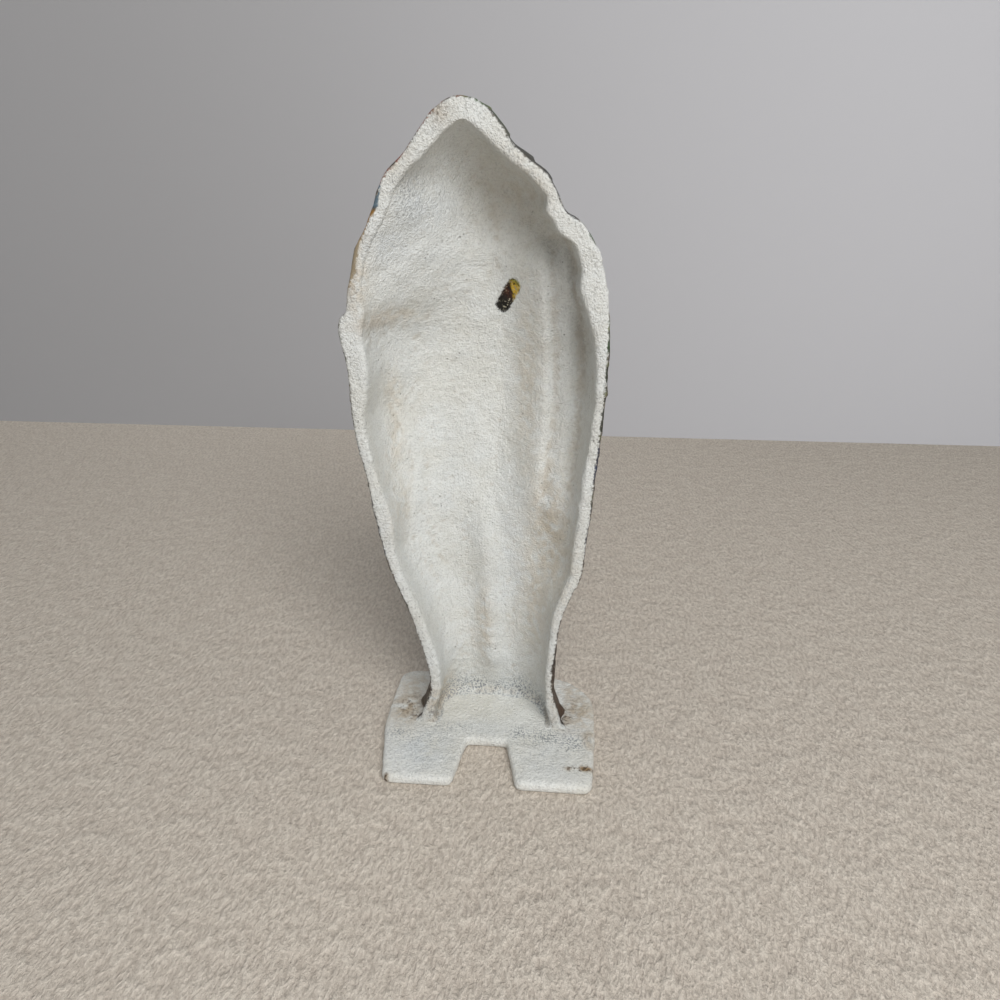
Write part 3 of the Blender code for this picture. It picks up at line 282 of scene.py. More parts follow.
def shingle(across, down, drop):
    """Overlapping rows of rounded feathers, with places counted in feather widths and lengths.

    Gives the height, how far inside its tip's edge a place is, how far it is below the tip that lies
    over it, and where it is across its feather.
    """
    row = np.floor(down)
    v = down - row
    u = across + 0.5 * np.mod(row, 2)
    own = u - np.floor(u) - 0.5
    above = u + 0.5 - np.floor(u + 0.5) - 0.5
    tip = drop * dome(2 * above)
    own_tip = drop * dome(2 * own)
    on_upper = ramp(tip - v, -0.05, 0.05)
    own_height = 0.55 * v - 0.7 * own ** 2
    upper_height = 0.55 * (v + 1) - 0.7 * above ** 2
    height = own_height + (upper_height - own_height) * on_upper
    inside = np.where(tip > v, tip - v, own_tip + 1 - v)
    below = np.where(tip > v, 9, v - tip)
    place = np.where(tip > v, above, own)
    return height, inside, below, place


def barbs(place, inside):
    """Fine slanted lines on a feather."""
    return 0.07 * np.sin((np.abs(place) * 4 + inside * 4) * 2 * np.pi)


def breast_and_thighs(art, x, z):
    width, length = BREAST_FEATHER
    sag = 0.0055 * (x - 5) ** 2
    height, inside, below, place = shingle((x - 1) / width, (BREAST_START - z + sag) / length, 0.52)
    mix = fall(z, 122, 198)
    colour = blend(RED, YELLOW, ramp(mix, 0.3, 0.95))
    colour = blend(colour, ORANGE, line(mix - 0.45, 0.18) * 0.8)
    # Paler along the edge of each feather's tip: a painted highlight
    colour = blend(colour, YELLOW, fall(inside, 0.08, 0.24) * 0.4)
    colour = blend(colour, YELLOW_GREEN, fall(z, 100, 114))
    art.lay(np.ones_like(x), 2.1 * height + barbs(place, inside), colour)
    art.shade(fall(below, 0.02, 0.17), 0.35)
    art.shade(line(place, 0.035) * ramp(inside, 0.18, 0.35), 0.6)
    for thigh in THIGHS:
        art.raise_by(4.2 * dome(from_centre(x, z, thigh)) ** 1.6)
    gap = line(x - 3.5, 2.6) * fall(z, 106, 118)
    art.shade(gap, 0.55)
    art.height = art.height * (1 - fall(z, 93, 99))


def stump(art, z, s):
    mask = fall(z, 80, 84)
    wander = 1.9 * np.sin(z * 0.071 + 0.5) + 0.4 * np.sin(z * 0.19 + s * 0.09)
    strip = (s + wander) / BARK_WIDTH
    number = np.floor(strip)
    ridge = np.abs(np.sin(strip * np.pi)) ** 0.8
    crack = np.abs(np.sin(z * (0.16 + 0.03 * np.sin(number * 1.7)) + number * 2.3)) ** 6
    bark = 0.4 + (2.1 + 0.5 * np.sin(number * 2.9)) * ridge - 0.8 * crack * ridge
    roots = np.abs(np.sin(s * 0.105 + 0.7)) ** 1.2
    bark = bark + 3.2 * roots * fall(z, 7, 27)
    knot = np.hypot(s - KNOT[0], (z - KNOT[1]) * 0.72)
    bark = bark * (1 - line(knot, 8)) + 2.3 * line(knot - 5.6, 2.2) + 0.5 * line(knot, 4)
    # Browner on the bark's ridges and black down its furrows: painted shade
    colour = blend(BROWN_DARK, BROWN, ridge * 0.6)
    colour = blend(colour, BLACK, fall(ridge, 0.05, 0.4) * 0.8)
    colour = blend(colour, GREEN_DARK, ramp(np.sin(s * 0.3 + z * 0.06), 0.5, 1) * 0.35)
    art.lay(mask, bark, colour)


def tail(art, x, z):
    middle = 1.6 + 0.028 * (90 - z)
    for offset, half, tip_z, upper in TAIL_FEATHERS:
        centre = middle + offset * (0.7 + 0.3 * ramp(z, 28, 95))
        u = (x - centre) / (half * (0.84 + 0.16 * ramp(z, 28, 80)))
        tip_edge = tip_z + 7.5 * (1 - dome(u))
        mask = ramp(1 - np.abs(u), 0, 0.14) * ramp(z - tip_edge, -0.3, 0.9)
        mask = mask * fall(z, 84, 88)
        height = 2.5 + 1.1 * (1 - u ** 2) + 1.1 * upper - 0.5 * line(u, 0.09)
        height = height + 0.1 * np.sin((z + 2.2 * np.abs(x - centre)) * 1.9)
        colour = RED if upper else BLUE
        if upper:
            colour = blend(colour, BLUE, fall(z, 38, 52))
        colour = blend(colour, YELLOW, line(u, 0.1) * 0.45)
        colour = blend(colour, BLACK, ramp(np.abs(u), 0.76, 0.97) * 0.75)
        art.lay(mask, height, colour)
    furrow = line(x - middle, 1.7) * fall(z, 80, 86) * ramp(z, 24, 33)
    art.raise_by(-2.2 * furrow)
    art.shade(furrow, 0.4)


def wing(art, z, out, top, inner_tip):
    """One folded wing. out is the distance outwards from its edge, round the figure's side."""
    slant = out + 0.05 * (160 - z)
    number = np.floor(slant / QUILL_WIDTH)
    u = slant / QUILL_WIDTH - number - 0.5
    tip_z = np.clip(inner_tip - 6 * number, 75, 112) + 6.5 * (1 - dome(2 * u))
    mask = ramp(out, 0, 1.6) * ramp(z - tip_z, -0.3, 0.9) * ramp(top - z, -0.3, 1.8)

    quills = 3.2 + 1.7 * (0.5 - u) - 0.9 * ramp(np.abs(u), 0.38, 0.5) - 0.35 * line(u, 0.07)
    quills = quills + 0.09 * np.sin((z - 12 * np.abs(u)) * 2)
    dark = blend(BLUE_DARK, BLUE, ramp(0.5 - u, 0.3, 1) * 0.65)
    dark = blend(dark, YELLOW_GREEN, line(u - 0.4, 0.05) * 0.35)
    dark = blend(dark, BLACK, ramp(np.abs(u), 0.42, 0.49))

    rows = np.interp(-z, [-height for height in COVERT_ROWS], np.arange(len(COVERT_ROWS)))
    last = len(COVERT_ROWS) - 1
    rows = np.where(z < COVERT_ROWS[-1], last + (COVERT_ROWS[-1] - z) / 17, rows)
    height, inside, below, place = shingle(out / COVERT_WIDTH + 0.25, rows, 0.45)
    over = np.where(rows < last, 1, (below > 5) * 1) * (rows < last + 0.9)
    coverts = 3.6 + 1.9 * height + barbs(place, inside)
    light = blend(GREEN, GREEN_DARK, fall(z, 164, 200))
    bright = fall(out, 11, 19)
    light = blend(light, YELLOW_GREEN, ramp(z, 190, 214) * 0.85 * bright)
    light = blend(light, YELLOW, ramp(z, 214, 226) * 0.5 * bright)
    # Paler along the edge of each covert's tip: a painted highlight; darker just below the tips that
    # lie over it: a painted shadow
    light = blend(light, YELLOW_GREEN, fall(inside, 0.07, 0.22) * 0.4)
    light = light * (1 - 0.7 * fall(below, 0.02, 0.17))[..., None]

    height = quills * (1 - over) + coverts * over
    height = height * (0.5 + 0.5 * ramp(np.minimum(out, top - z), 0, 5))
    level = ramp(out, 1.5, 6) * ramp(top - z, 0, 6) * ramp(z, 84, 92)
    art.lay(level, 2.6, blend(BLUE_DARK, BLACK, fall(z, 92, 100)))
    art.lay(mask, height, blend(dark, light, over))
    # The crease along the wing's edge is sunk and tinted black: painted shade
    crease = line(out + 0.3, 1.3) * ramp(z, inner_tip - 6, inner_tip + 4)
    crease = crease * ramp(top - z, -4, 2)
    art.raise_by(-1.4 * crease)
    art.tint(crease * 0.8, BLACK)
    under = line(z - tip_z + 1.6, 1.6) * ramp(out, -1, 1)
    art.shade(under, 0.45)


def head(art, x, z, covered):
    """Neck and head feathers, which run back from the face; covered says where the wings lie."""
    across = x - HEAD_CENTRE[0]
    up = z - HEAD_CENTRE[1]
    radius = np.hypot(across, up)
    angle = np.degrees(np.arctan2(up, across))
    angle = np.where(angle < -60, angle + 360, angle)
    height, inside, below, _ = shingle(radius / 7, angle / 9.6, 0.52)
    edge = 198.6 + 2.6 * np.abs(np.sin((x - 3) * np.pi / 10.4)) + 0.01 * (x - 10) ** 2
    mask = ramp(z - edge, -0.6, 0.6) * (1 - covered)
    settle = ramp(radius, 12, 19)
    feather = 2.4 + 1.5 * height * settle
    colour = blend(GREEN, GREEN_DARK, ramp(-(x - 0.35 * (z - 235)), 8, 30))
    colour = blend(colour, PINK, ramp(x + 0.9 * (z - 247), 26, 34))
    # Paler along the edge of each feather's tip: a painted highlight; darker just below the tips that
    # lie over it: a painted shadow
    colour = blend(colour, YELLOW_GREEN, fall(inside, 0.1, 0.28) * 0.35 * settle)
    colour = colour * (1 - 0.65 * fall(below, 0.02, 0.18) * settle)[..., None]
    art.lay(mask, feather, colour)
    art.shade(line(z - edge + 1.2, 1.3) * (1 - covered) * fall(x, 30, 34), 0.5)
    nape = ramp(-(x + 0.55 * (262 - z)), 1, 7) * ramp(z, 225, 231)
    art.tint(nape * 0.92, BLACK)

    # The bare cheek, with a few creases below the eye
    away = from_centre(x, z, CHEEK)
    mask = ramp(1 - away, 0, 0.08)
    creases = line(np.sin((z - 0.35 * (x - 18)) * np.pi / 4.4), 0.28) * fall(z, 226, 231)
    creases = creases * ramp(1 - away, 0.12, 0.3)
    art.lay(mask, 2.7 + 1.3 * dome(away * 0.96) - 0.35 * creases, BONE)
    art.shade(creases * mask, 0.55)
    art.tint(line(away - 1.02, 0.05) * 0.6, BLACK)

    # The eye and the brow over it
    away = np.hypot(x - EYE[0], (z - EYE[1]) * 1.06)
    art.raise_by(1 * line(away - 5.8, 1.2) - 0.7 * line(away - 4.4, 0.7) + 2.3 * dome(away / 4.1))
    art.tint(fall(away, 6.3, 6.8) * 0.7, GREY)
    art.tint(fall(away, 3.8, 4.3), YELLOW)
    art.tint(fall(away, 2.2, 2.7), BLACK)
    art.tint(line(away - 4.4, 0.5), BLACK)
    brow = line(z - 245 + 0.012 * (x - 18) ** 2, 2.4) * ramp(x, 2, 8) * fall(x, 28, 34)
    art.raise_by(1.3 * brow)


def beak(art, x, z):
    out = x - along(BEAK_ROOT, z)
    mouth = along(MOUTH, x)
    upper = ramp(out, 0, 1.2) * ramp(z - mouth, -0.2, 0.6) * fall(z, 241.5, 244.5)
    bend = 6.4 - 0.9 * out + 0.28 * (z - 226)
    cere = ramp(bend, -0.5, 0.5)
    height = 2.2 + 3.4 * dome(np.clip((out - 8.5) / 11.5, -1, 1)) + 1.1 * cere
    nostril = from_centre(x, z, NOSTRIL)
    colour = blend(YELLOW, ORANGE, ramp(out, 2, 16) * 0.35)
    colour = blend(colour, BONE, ramp(out, 12, 20) * 0.8)
    colour = blend(colour, BLACK, ramp(-(z + 0.2 * x), -214, -209.5))
    colour = blend(colour, LIGHT_BLUE, cere)
    colour = blend(colour, BLACK, line(bend, 0.8) * 0.9)
    colour = blend(colour, BLACK, line(nostril, 1))
    art.lay(upper, height - 1.8 * line(nostril, 1), colour)

    away = from_centre(x, z, LOWER_BEAK)
    lower = ramp(1 - away, 0, 0.12) * ramp(mouth - z, 0, 0.8) * ramp(x - 30, 0, 1.5)
    colour = blend(YELLOW, BLACK, fall(z, 202.5, 206) * 0.75)
    art.lay(lower, 1.8 + 2.6 * dome(away), colour)
    slit = line(z - mouth, 0.9) * ramp(x, 29, 31.5) * fall(x, 49, 53)
    art.raise_by(-2 * slit)
    art.tint(slit, BLACK)
    root = line(out, 1.1) * ramp(z, 209, 213) * fall(z, 240, 244)
    art.raise_by(-1 * root)
    art.tint(root * 0.6, BLACK)


def perch_and_feet(art, x, z):
    middle = PERCH_HEIGHT + 0.9 * np.sin(x * 0.11 + 0.6)
    w = (z - middle) / PERCH_HALF
    mask = ramp(1 - np.abs(w), 0, 0.12)
    grain = np.sin(w * 8 + 1.3 * np.sin(x * 0.2))
    colour = blend(BROWN, BROWN_DARK, ramp(grain, -0.2, 0.6) * 0.8)
    art.lay(mask, 2.2 + 4.2 * dome(w) + 0.35 * grain, colour)
    art.shade(line(np.abs(w) - 1.04, 0.14), 0.4)
    for toe_x, lean in TOES:
        centre = toe_x + lean * (90 - z)
        u = (x - centre) / 3.9
        mask = ramp(1 - np.abs(u), 0, 0.22) * ramp(z, 78.5, 80.5) * fall(z, 95, 100)
        joints = np.sin(z * 1.7)
        colour = blend(GREY, BLACK, ramp(joints, 0.2, 0.9) * 0.6)
        art.lay(mask, 5.4 * dome(w * 0.9) + 1.8 + 2.4 * dome(u) + 0.4 * joints, colour)
        u = (x - centre) / (2.2 * ramp(z, 70.5, 79) + 0.3)
        mask = ramp(1 - np.abs(u), 0, 0.3) * ramp(z, 71.5, 73) * fall(z, 80, 82)
        art.lay(mask, 4.6 + 1.9 * dome(u) + 0.3 * (z - 76), BLACK)


def front_art(x, z, s, s_left, s_right):
    """Carving and paint of the front. s is the distance round the section from its deepest line."""
    art = Art(x.shape)
    left_top = np.where(x < -41, 230.5, 230.5 - 0.075 * (x + 41) ** 2)
    right_top = 194.5 - 0.055 * (59 - x) ** 2
    out_left = s_left - s
    out_right = s - s_right
    on_left = ramp(left_top - z, -0.2, 0.8) * ramp(out_left, 0, 1)
    on_right = ramp(right_top - z, -0.2, 0.8) * ramp(out_right, 0, 1)
    breast_and_thighs(art, x, z)
    stump(art, z, s)
    tail(art, x, z)
    wing(art, z, out_left, left_top, 101)
    wing(art, z, out_right, right_top, 104)
    head(art, x, z, np.maximum(on_left, on_right))
    beak(art, x, z)
    fold = line(z - 194.5 - 0.04 * (x - 40), 2.3) * ramp(x, 22, 34) * (1 - on_right)
    art.raise_by(-2.4 * fold)
    art.shade(fold, 0.45)
    perch_and_feet(art, x, z)
    return art.height, art.colour


# The hollow's surface

def mean_along(table, z, reach, offsets):
    """A table's value, softened by its mean over some heights above and below."""
    return sum(along(table, z + reach * away) for away in offsets) / len(offsets)


def core_depth(z):
    """How deep the hollow is at a height: the front's depth less the wall, closing at the top."""
    closing = np.clip((z - CORE_SHOULDER) / (CORE_TOP - CORE_SHOULDER), 0, 1)
    reach = fall(z, 200, 240)
    front = mean_along(FRONT_DEPTH, z, reach, (-17, -10, -4, 4, 10, 17))
    return (front - WALL) * np.sqrt(1 - closing ** 2) + 1.5 * closing


def core_shape(t, z):
    """Depth across the hollow as a part of its full depth, for t from -1 to 1."""
    left = along(LEFT_CORE_FULLNESS, z)
    fullness = np.where(t < 0, left, along(RIGHT_CORE_FULLNESS, z))
    softness = np.where(t < 0, 1 / left, along(RIGHT_CORE_SOFTNESS, z))
    return np.clip(1 - np.abs(t) ** fullness, 0, 1) ** softness


RIDGE_LINE = (
    (90, -16.5), (125, -20), (139, -21.2), (148, -22), (166, -22.4), (183, -22),
    (199, -21), (231, -19),
)


def core_relief(x, z):
    """The soft echo of the front's folds inside the hollow."""
    away = x - along(RIDGE_LINE, z)
    slope = np.clip(1 - (np.hypot(away, 3.5) - 3.5) / 17, 0, 1) ** 1.6
    ridge = np.where(away > 0, slope, 0.7 + 0.3 * line(away, 2.8)) * ramp(away, -17, -8)
    ridge = ridge * ramp(z, 88, 132) * fall(z, 210, 231)
    crease = line(x - 41, 4) * ramp(z, 98, 120) * fall(z, 178, 192)
    fold = line(z - 196 - 0.05 * (x - 40), 6.5) * ramp(x, 22, 46)
    edge = along(RIGHT_OUTLINE, z) - 14 - 1.6 * np.sin(z * 0.11) - 0.9 * np.sin(z * 0.047 + 1)
    ledge = line(x - edge, 2.4) * ramp(z, 52, 74) * fall(z, 160, 176)
    furrow = line(x - along(LEG_FURROW, z), 6.5) * ramp(z, 4, 34) * fall(z, 84, 118)
    hump = line(np.hypot(x + 8, 0.6 * (z - 98)), 10)
    shelf = line(np.hypot(x - 42, 0.8 * (z - 221)), 8)
    grooves = -10.8 * ridge - 0.8 * crease - 0.5 * fold - 5 * furrow
    return grooves - 1.4 * hump + 1.2 * shelf - 1.1 * ledge


def pocket_places(x, z):
    """Places across and along the small slanted pocket in the hollow."""
    right = x - POCKET_CENTRE[0]
    up = z - POCKET_CENTRE[1]
    across = right * np.cos(POCKET_TILT) + up * np.sin(POCKET_TILT)
    length = up * np.cos(POCKET_TILT) - right * np.sin(POCKET_TILT)
    return across, length


def past_pocket(x, z):
    """How far a place is outside the pocket's edge, and below 0 in it."""
    across, length = pocket_places(x, z)
    return np.hypot(across, np.maximum(np.abs(length) - POCKET_HALF_LENGTH, 0)) - POCKET_RADIUS


# Noise on a fixed lattice

LATTICE_SIZE = 32
LATTICE = np.random.default_rng(7).random((LATTICE_SIZE,) * 3) * 2 - 1


def noise(points, size, shift=0):
    """Smooth noise from -1 to 1 at points in millimetres, with bumps of about the given size."""
    p = points / size + shift
    cell = np.floor(p).astype(int)
    f = p - cell
    f = f * f * (3 - 2 * f)
    shares = [(1 - f[..., axis], f[..., axis]) for axis in range(3)]
    total = 0
    for corner in np.ndindex(2, 2, 2):
        weight = shares[0][corner[0]] * shares[1][corner[1]] * shares[2][corner[2]]
        total = total + weight * LATTICE[tuple(np.moveaxis((cell + corner) % LATTICE_SIZE, -1, 0))]
    return total


# The figure as one closed grid: every row is a ring that runs over the front from left to right,
# across the right rim, through the hollow from right to left, and back across the left rim

FRONT_COLUMNS = 168
RIM_COLUMNS = 10
CORE_COLUMNS = 96
ROW_STEP = 0.9
SUNK = 4.2
OUTER_FILLET = 2.2
INNER_FILLET = 3.4
CLOSING_HEIGHT = 238
FILLET_ROWS = 7
CLOSING_ROWS = 54


def row_heights():
    """Heights of the rows at the outer edge and at the hollow's edge."""
    fillet = PLATE_TOP + INNER_FILLET * (1 - np.cos(np.linspace(0, 0.5 * np.pi, FILLET_ROWS)))
    count = int(round((CLOSING_HEIGHT - fillet[-1]) / ROW_STEP))
    body = np.linspace(fillet[-1], CLOSING_HEIGHT, count + 1)[1:]
    closing = np.sin(np.linspace(0, 0.985 * 0.5 * np.pi, CLOSING_ROWS))[1:]
    outer = CLOSING_HEIGHT + (PATTERN_TOP - CLOSING_HEIGHT) * closing
    inner = CLOSING_HEIGHT + (CORE_TOP - CLOSING_HEIGHT) * closing
    start = np.concatenate(([SUNK], fillet, body))
    return np.concatenate((start, outer)), np.concatenate((start, inner))


def flare(z, radius):
    """How far the wall runs out at its foot, where it meets the plate."""
    u = np.clip((z - PLATE_TOP) / radius, 0, 1)
    return radius * (1 - np.sqrt(1 - (1 - u) ** 2))


def front_rows(heights):
    """The plain round front, evenly spaced round each section, with the places that the art needs."""
    dense = -np.cos(np.linspace(0, np.pi, 500))
    rows = []
    for z in heights:
        h = np.clip(z, PATTERN_BOTTOM, PATTERN_TOP)
        left = along(LEFT_OUTLINE, h)
        right = along(RIGHT_OUTLINE, h)
        margin = 0.2 * (right - left)
        centre = np.clip(along(DEEPEST_LINE, h), left + margin, right - margin)
        depth = along(FRONT_DEPTH, h)
        lip = min(LIP, 0.3 * depth)
        reach = np.where(dense < 0, centre - left, right - centre)
        fullness = np.where(dense < 0, along(LEFT_FULLNESS, h), along(RIGHT_FULLNESS, h))
        x = centre + dense * reach
        y = lip + (depth - lip) * np.clip(1 - np.abs(dense) ** fullness, 0, 1) ** (1 / fullness)
        step = np.hypot(np.diff(x), np.diff(y))
        length = np.concatenate(([0], np.cumsum(step)))
        even = np.linspace(0, length[-1], FRONT_COLUMNS)
        middle = np.interp(centre, x, length)
        edges = [np.interp(along(table, h), x, length) - middle for table in (LEFT_LINE, RIGHT_LINE)]
        rows.append((np.interp(even, length, x), np.interp(even, length, y), even - middle, *edges))
    x, y, s, s_left, s_right = (np.array(part) for part in zip(*rows))
    z = np.repeat(heights[:, None], FRONT_COLUMNS, axis=1)
    return np.stack((x, -y, z), axis=2), s, s_left[:, None], s_right[:, None]


def grid_normals(points, cyclic):
    """Unit normals of a grid of points, pointing out of the metal."""
    if cyclic:
        across = np.roll(points, -1, axis=1) - np.roll(points, 1, axis=1)
    else:
        across = np.gradient(points, axis=1)
    up = np.gradient(points, axis=0)
    normal = np.cross(across, up)
    size = np.linalg.norm(normal, axis=2, keepdims=True)
    return normal / np.maximum(size, 1e-9)


def carved_front(heights):
    """The front with its carving, and the paint on it."""
    plain, s, s_left, s_right = front_rows(heights)
    normal = grid_normals(plain, False)
    z = plain[..., 2]
    height, colour = front_art(plain[..., 0], z, s, s_left, s_right)
    from_edge = np.minimum(s - s[:, :1], s[:, -1:] - s)
    height = height * ramp(z, PLATE_TOP, PLATE_TOP + 4)
    # The sides stay within the outline that the back shows, so the carving goes in there, not out
    fade = ramp(from_edge, 0.3, EDGE_FADE) * ramp(PATTERN_TOP - z, 0.2, 5)
    height = (height - along(LET_IN, z) * np.abs(normal[..., 0])) * fade + flare(z, OUTER_FILLET)
    return plain + normal * height[..., None], colour, from_edge


def core_rows(heights):
    """The hollow's surface, from its left edge to its right edge."""
    z = heights[:, None]
    h = np.clip(z, PATTERN_BOTTOM, PATTERN_TOP)
    left = along(LEFT_OUTLINE, h) + along(LEFT_RIM, z) * RIM_STEP
    soft = mean_along(RIGHT_OUTLINE, h, fall(z, 216, 236), (-7, -4, 0, 4, 7))
    right = soft - along(RIGHT_RIM, z) * RIM_STEP
    closing = np.clip((z - CORE_SHOULDER) / (CORE_TOP - CORE_SHOULDER), 0, 1)
    middle = 0.5 * (left + right)
    half = 0.5 * (right - left) * np.sqrt(np.clip(1 - closing ** 2.4, 0, 1)) + 0.4
    centre = np.clip(along(DEEPEST_LINE, h), middle - 0.7 * half, middle + 0.7 * half)
    lip = np.minimum(LIP, 0.25 * half)
    inner_lip = np.minimum(INNER_LIP, 0.25 * half)
    foot = flare(z, INNER_FILLET)
    inner_left = middle - half + 0.7 * lip + foot
    inner_right = middle + half - 0.7 * lip - foot

    # Columns lie closer near the walls, and round the pocket
    angle = np.linspace(0, np.pi, 2000)
    density = 1 + 1.6 * line(angle - 1.38, 0.13)
    share = np.concatenate(([0], np.cumsum(0.5 * (density[1:] + density[:-1]))))
    t = -np.cos(np.interp(np.linspace(0, share[-1], CORE_COLUMNS), share, angle))[None, :]
    x = np.where(t < 0, centre + t * (centre - inner_left), centre + t * (inner_right - centre))
    inside = np.minimum(x - middle + half, middle + half - x)
    fade = ramp(inside, 1, 6) * ramp(CORE_TOP - z, 4, 16)
    depth = core_depth(z)
    lip_depth = np.minimum(inner_lip, 0.3 * depth)
    y = lip_depth + (depth - foot - lip_depth) * core_shape(t, z)
    y = np.maximum(y + core_relief(x, z) * fade, lip_depth)
    zz = np.broadcast_to(z, x.shape)
    y = y + POCKET_DEPTH * ramp(-past_pocket(x, zz), -0.5, 0.9)
    return np.stack((x, -y, zz), axis=2)


def rounded_edge(radius, away):
    """How far a rounded edge has dropped, at a distance from where it begins."""
    return radius - np.sqrt(np.clip(radius ** 2 - np.clip(radius - away, 0, None) ** 2, 0, None))


def rim_band(outer, inner):
    """The flat rim between the outer edge and the hollow's edge, rounded at both."""
    b = 0.5 * (1 - np.cos(np.pi * np.arange(1, RIM_COLUMNS + 1) / (RIM_COLUMNS + 1)))
    flat = np.linalg.norm((inner - outer)[:, [0, 2]], axis=1)[:, None]
    band = outer[:, None, :] + (inner - outer)[:, None, :] * b[None, :, None]
    radius_out = np.minimum(np.abs(outer[:, 1])[:, None], 0.45 * flat)
    radius_in = np.minimum(np.abs(inner[:, 1])[:, None], 0.45 * flat)
    from_out = b[None, :] * flat
    from_in = (1 - b[None, :]) * flat
    band[..., 1] = -np.maximum(rounded_edge(radius_out, from_out), rounded_edge(radius_in, from_in))
    return band, from_out


def bend(points, normal, reach):
    """How hollow (above 0) or how ridged (below 0) the grid is, over a reach in cells."""
    height = points.shape[0]
    rows = np.arange(height)
    above = points[np.clip(rows + reach, 0, height - 1)]
    below = points[np.clip(rows - reach, 0, height - 1)]
    ahead = np.roll(points, -reach, axis=1)
    behind = np.roll(points, reach, axis=1)
    total = 0
    for first, second in ((above, below), (ahead, behind)):
        rise = np.sum(normal * (0.5 * (first + second) - points), axis=2)
        span = 0.5 * np.linalg.norm(first - second, axis=2) + 0.3
        total = total + rise / span
    return total


def closed_grid_mesh(name, points):
    """A closed mesh from the grid of rings. Each end closes by joining the ring's two halves."""
    count, columns = points.shape[:2]
    index = np.arange(count * columns).reshape(count, columns)
    following = np.roll(index, -1, axis=1)
    quads = np.stack((index[:-1], following[:-1], following[1:], index[1:]), axis=2).reshape(-1, 4)
    first = FRONT_COLUMNS // 2
    last = FRONT_COLUMNS + RIM_COLUMNS + CORE_COLUMNS // 2 - 1
    caps = []
    for row, flip in ((0, True), (count - 1, False)):
        for j in range(first, last):
            corners = [j, j + 1, (FRONT_COLUMNS - 2 - j) % columns, (FRONT_COLUMNS - 1 - j) % columns]
            if flip:
                corners.reverse()
            caps.append([int(index[row, c]) for c in corners])
    faces = np.concatenate((quads, np.array(caps)))
    data = bpy.data.meshes.new(name)
    data.from_pydata((points * MM).reshape(-1, 3), [], faces.tolist())
    return data


def write_numbers(data, fields):
    """Numbers at the points of a mesh, for its material."""
    for name, values in fields.items():
        made = data.attributes.new(name, "FLOAT", "POINT")
        made.data.foreach_set("value", np.ascontiguousarray(values, dtype=np.float32).reshape(-1))


def write_colours(data, fields):
    """Colours, or three numbers together, at the points of a mesh."""
    for name, values in fields.items():
        colour = np.ones(values.shape[:-1] + (4,), dtype=np.float32)
        colour[..., :3] = values
        made = data.attributes.new(name, "FLOAT_COLOR", "POINT")
        made.data.foreach_set("color", colour.reshape(-1))


def place_piece(name, data):
    """A new object in the scene."""
    piece = bpy.data.objects.new(name, data)
    scene.collection.objects.link(piece)
    return piece


def pocket_paint(points):
    """Colours in the pocket: black and brown below, yellow above and along one side."""
    across, length = pocket_places(points[..., 0], points[..., 2])
    colour = blend(rgb(24, 20, 12), rgb(92, 44, 22), line(length - 1.5, 2) * 0.8)
    colour = blend(colour, rgb(226, 190, 66), ramp(length - 1.2 * across, 2.2, 3.8))
    return blend(colour, rgb(172, 172, 78), ramp(length, 5.4, 7))


def blobs(x, z, spots):
    """How strong soft spots are at places on the figure, or with y for z on the plate."""
    total = np.zeros_like(x)
    for cx, cz, rx, rz, strength in spots:
        total = np.maximum(total, strength * np.exp(-((x - cx) / rx) ** 2 - ((z - cz) / rz) ** 2))
    return total


# Marks on the figure's back and rim, as soft spots (x, height, half width, half height, strength)

BLUE_WHITE = (
    (25.6, 233, 11, 10, 1), (38, 222, 9, 8, 0.9), (20, 213, 9, 8, 0.6),
    (-7.4, 80, 8, 24, 0.8), (31.6, 184, 10, 9, 0.6), (20, 117, 8, 20, 0.5),
)
# Ochre stains; the spots at (-15, 165), (-26, 98), (-20, 66) and (-12, 240) are painted shade on
# darker slopes of the hollow
OCHRE_AND_SHADE = (
    (43.5, 158, 3, 12, 0.5), (43.5, 136, 3, 14, 0.5), (40.5, 112, 3, 12, 0.4),
    (-15, 165, 6.5, 44, 0.5), (-26, 98, 10, 34, 0.8), (9, 38, 8, 10, 0.3),
    (-20, 66, 8, 34, 0.6), (4.5, 45, 4.5, 22, 0.7),
    (25, 15, 5, 9, 0.9), (-34, 22, 6, 10, 0.8), (-12, 240, 16, 16, 0.3),
    (50, 210, 4, 14, 0.7), (35, 250, 4, 4, 0.7), (42, 193, 12, 4, 0.6),
)
GREY_SPECKS = (
    (20, 9, 9, 7, 1), (8.5, 8, 10, 6, 1), (-3, 8, 9, 5, 0.8),
    (-14, 9, 9, 8, 1), (-22, 7, 6, 7, 0.9), (30, 238, 5, 8, 0.4),
)

# Where the front's paint runs over the rim, and where the back's does over the side

FRONT_WRAP = (
    (50, 212, 8, 12, 1), (41, 236, 5, 5, 0.8), (-40, 222, 4, 4, 0.6),
    (36, 249, 4, 4, 0.5), (-31, 34, 7, 14, 0.5), (29, 20, 6, 8, 0.5),
    (44, 84, 12, 34, 0.3), (-47, 150, 8, 60, 0.3),
)
BACK_WRAP = (
    (-42, 212, 7, 13, 1.6), (54, 205, 6, 8, 0.7), (-34, 9, 6, 9, 0.8),
    (34, 8, 6, 8, 0.8),
)
FIGURE_DIRT = (
    (16.5, 265, 3.5, 3, 0.75), (30, 251, 4, 3, 0.3), (47, 224, 3, 4, 0.55),
    (52, 206, 3, 6, 0.5), (46, 190, 5, 3, 0.35), (27, 8, 3.5, 6, 0.5),
    (28, 22, 2.5, 8, 0.3), (-29, 8, 3, 7, 0.45), (-34, 236, 3, 3, 0.25),
)
NO_POCKET = 9


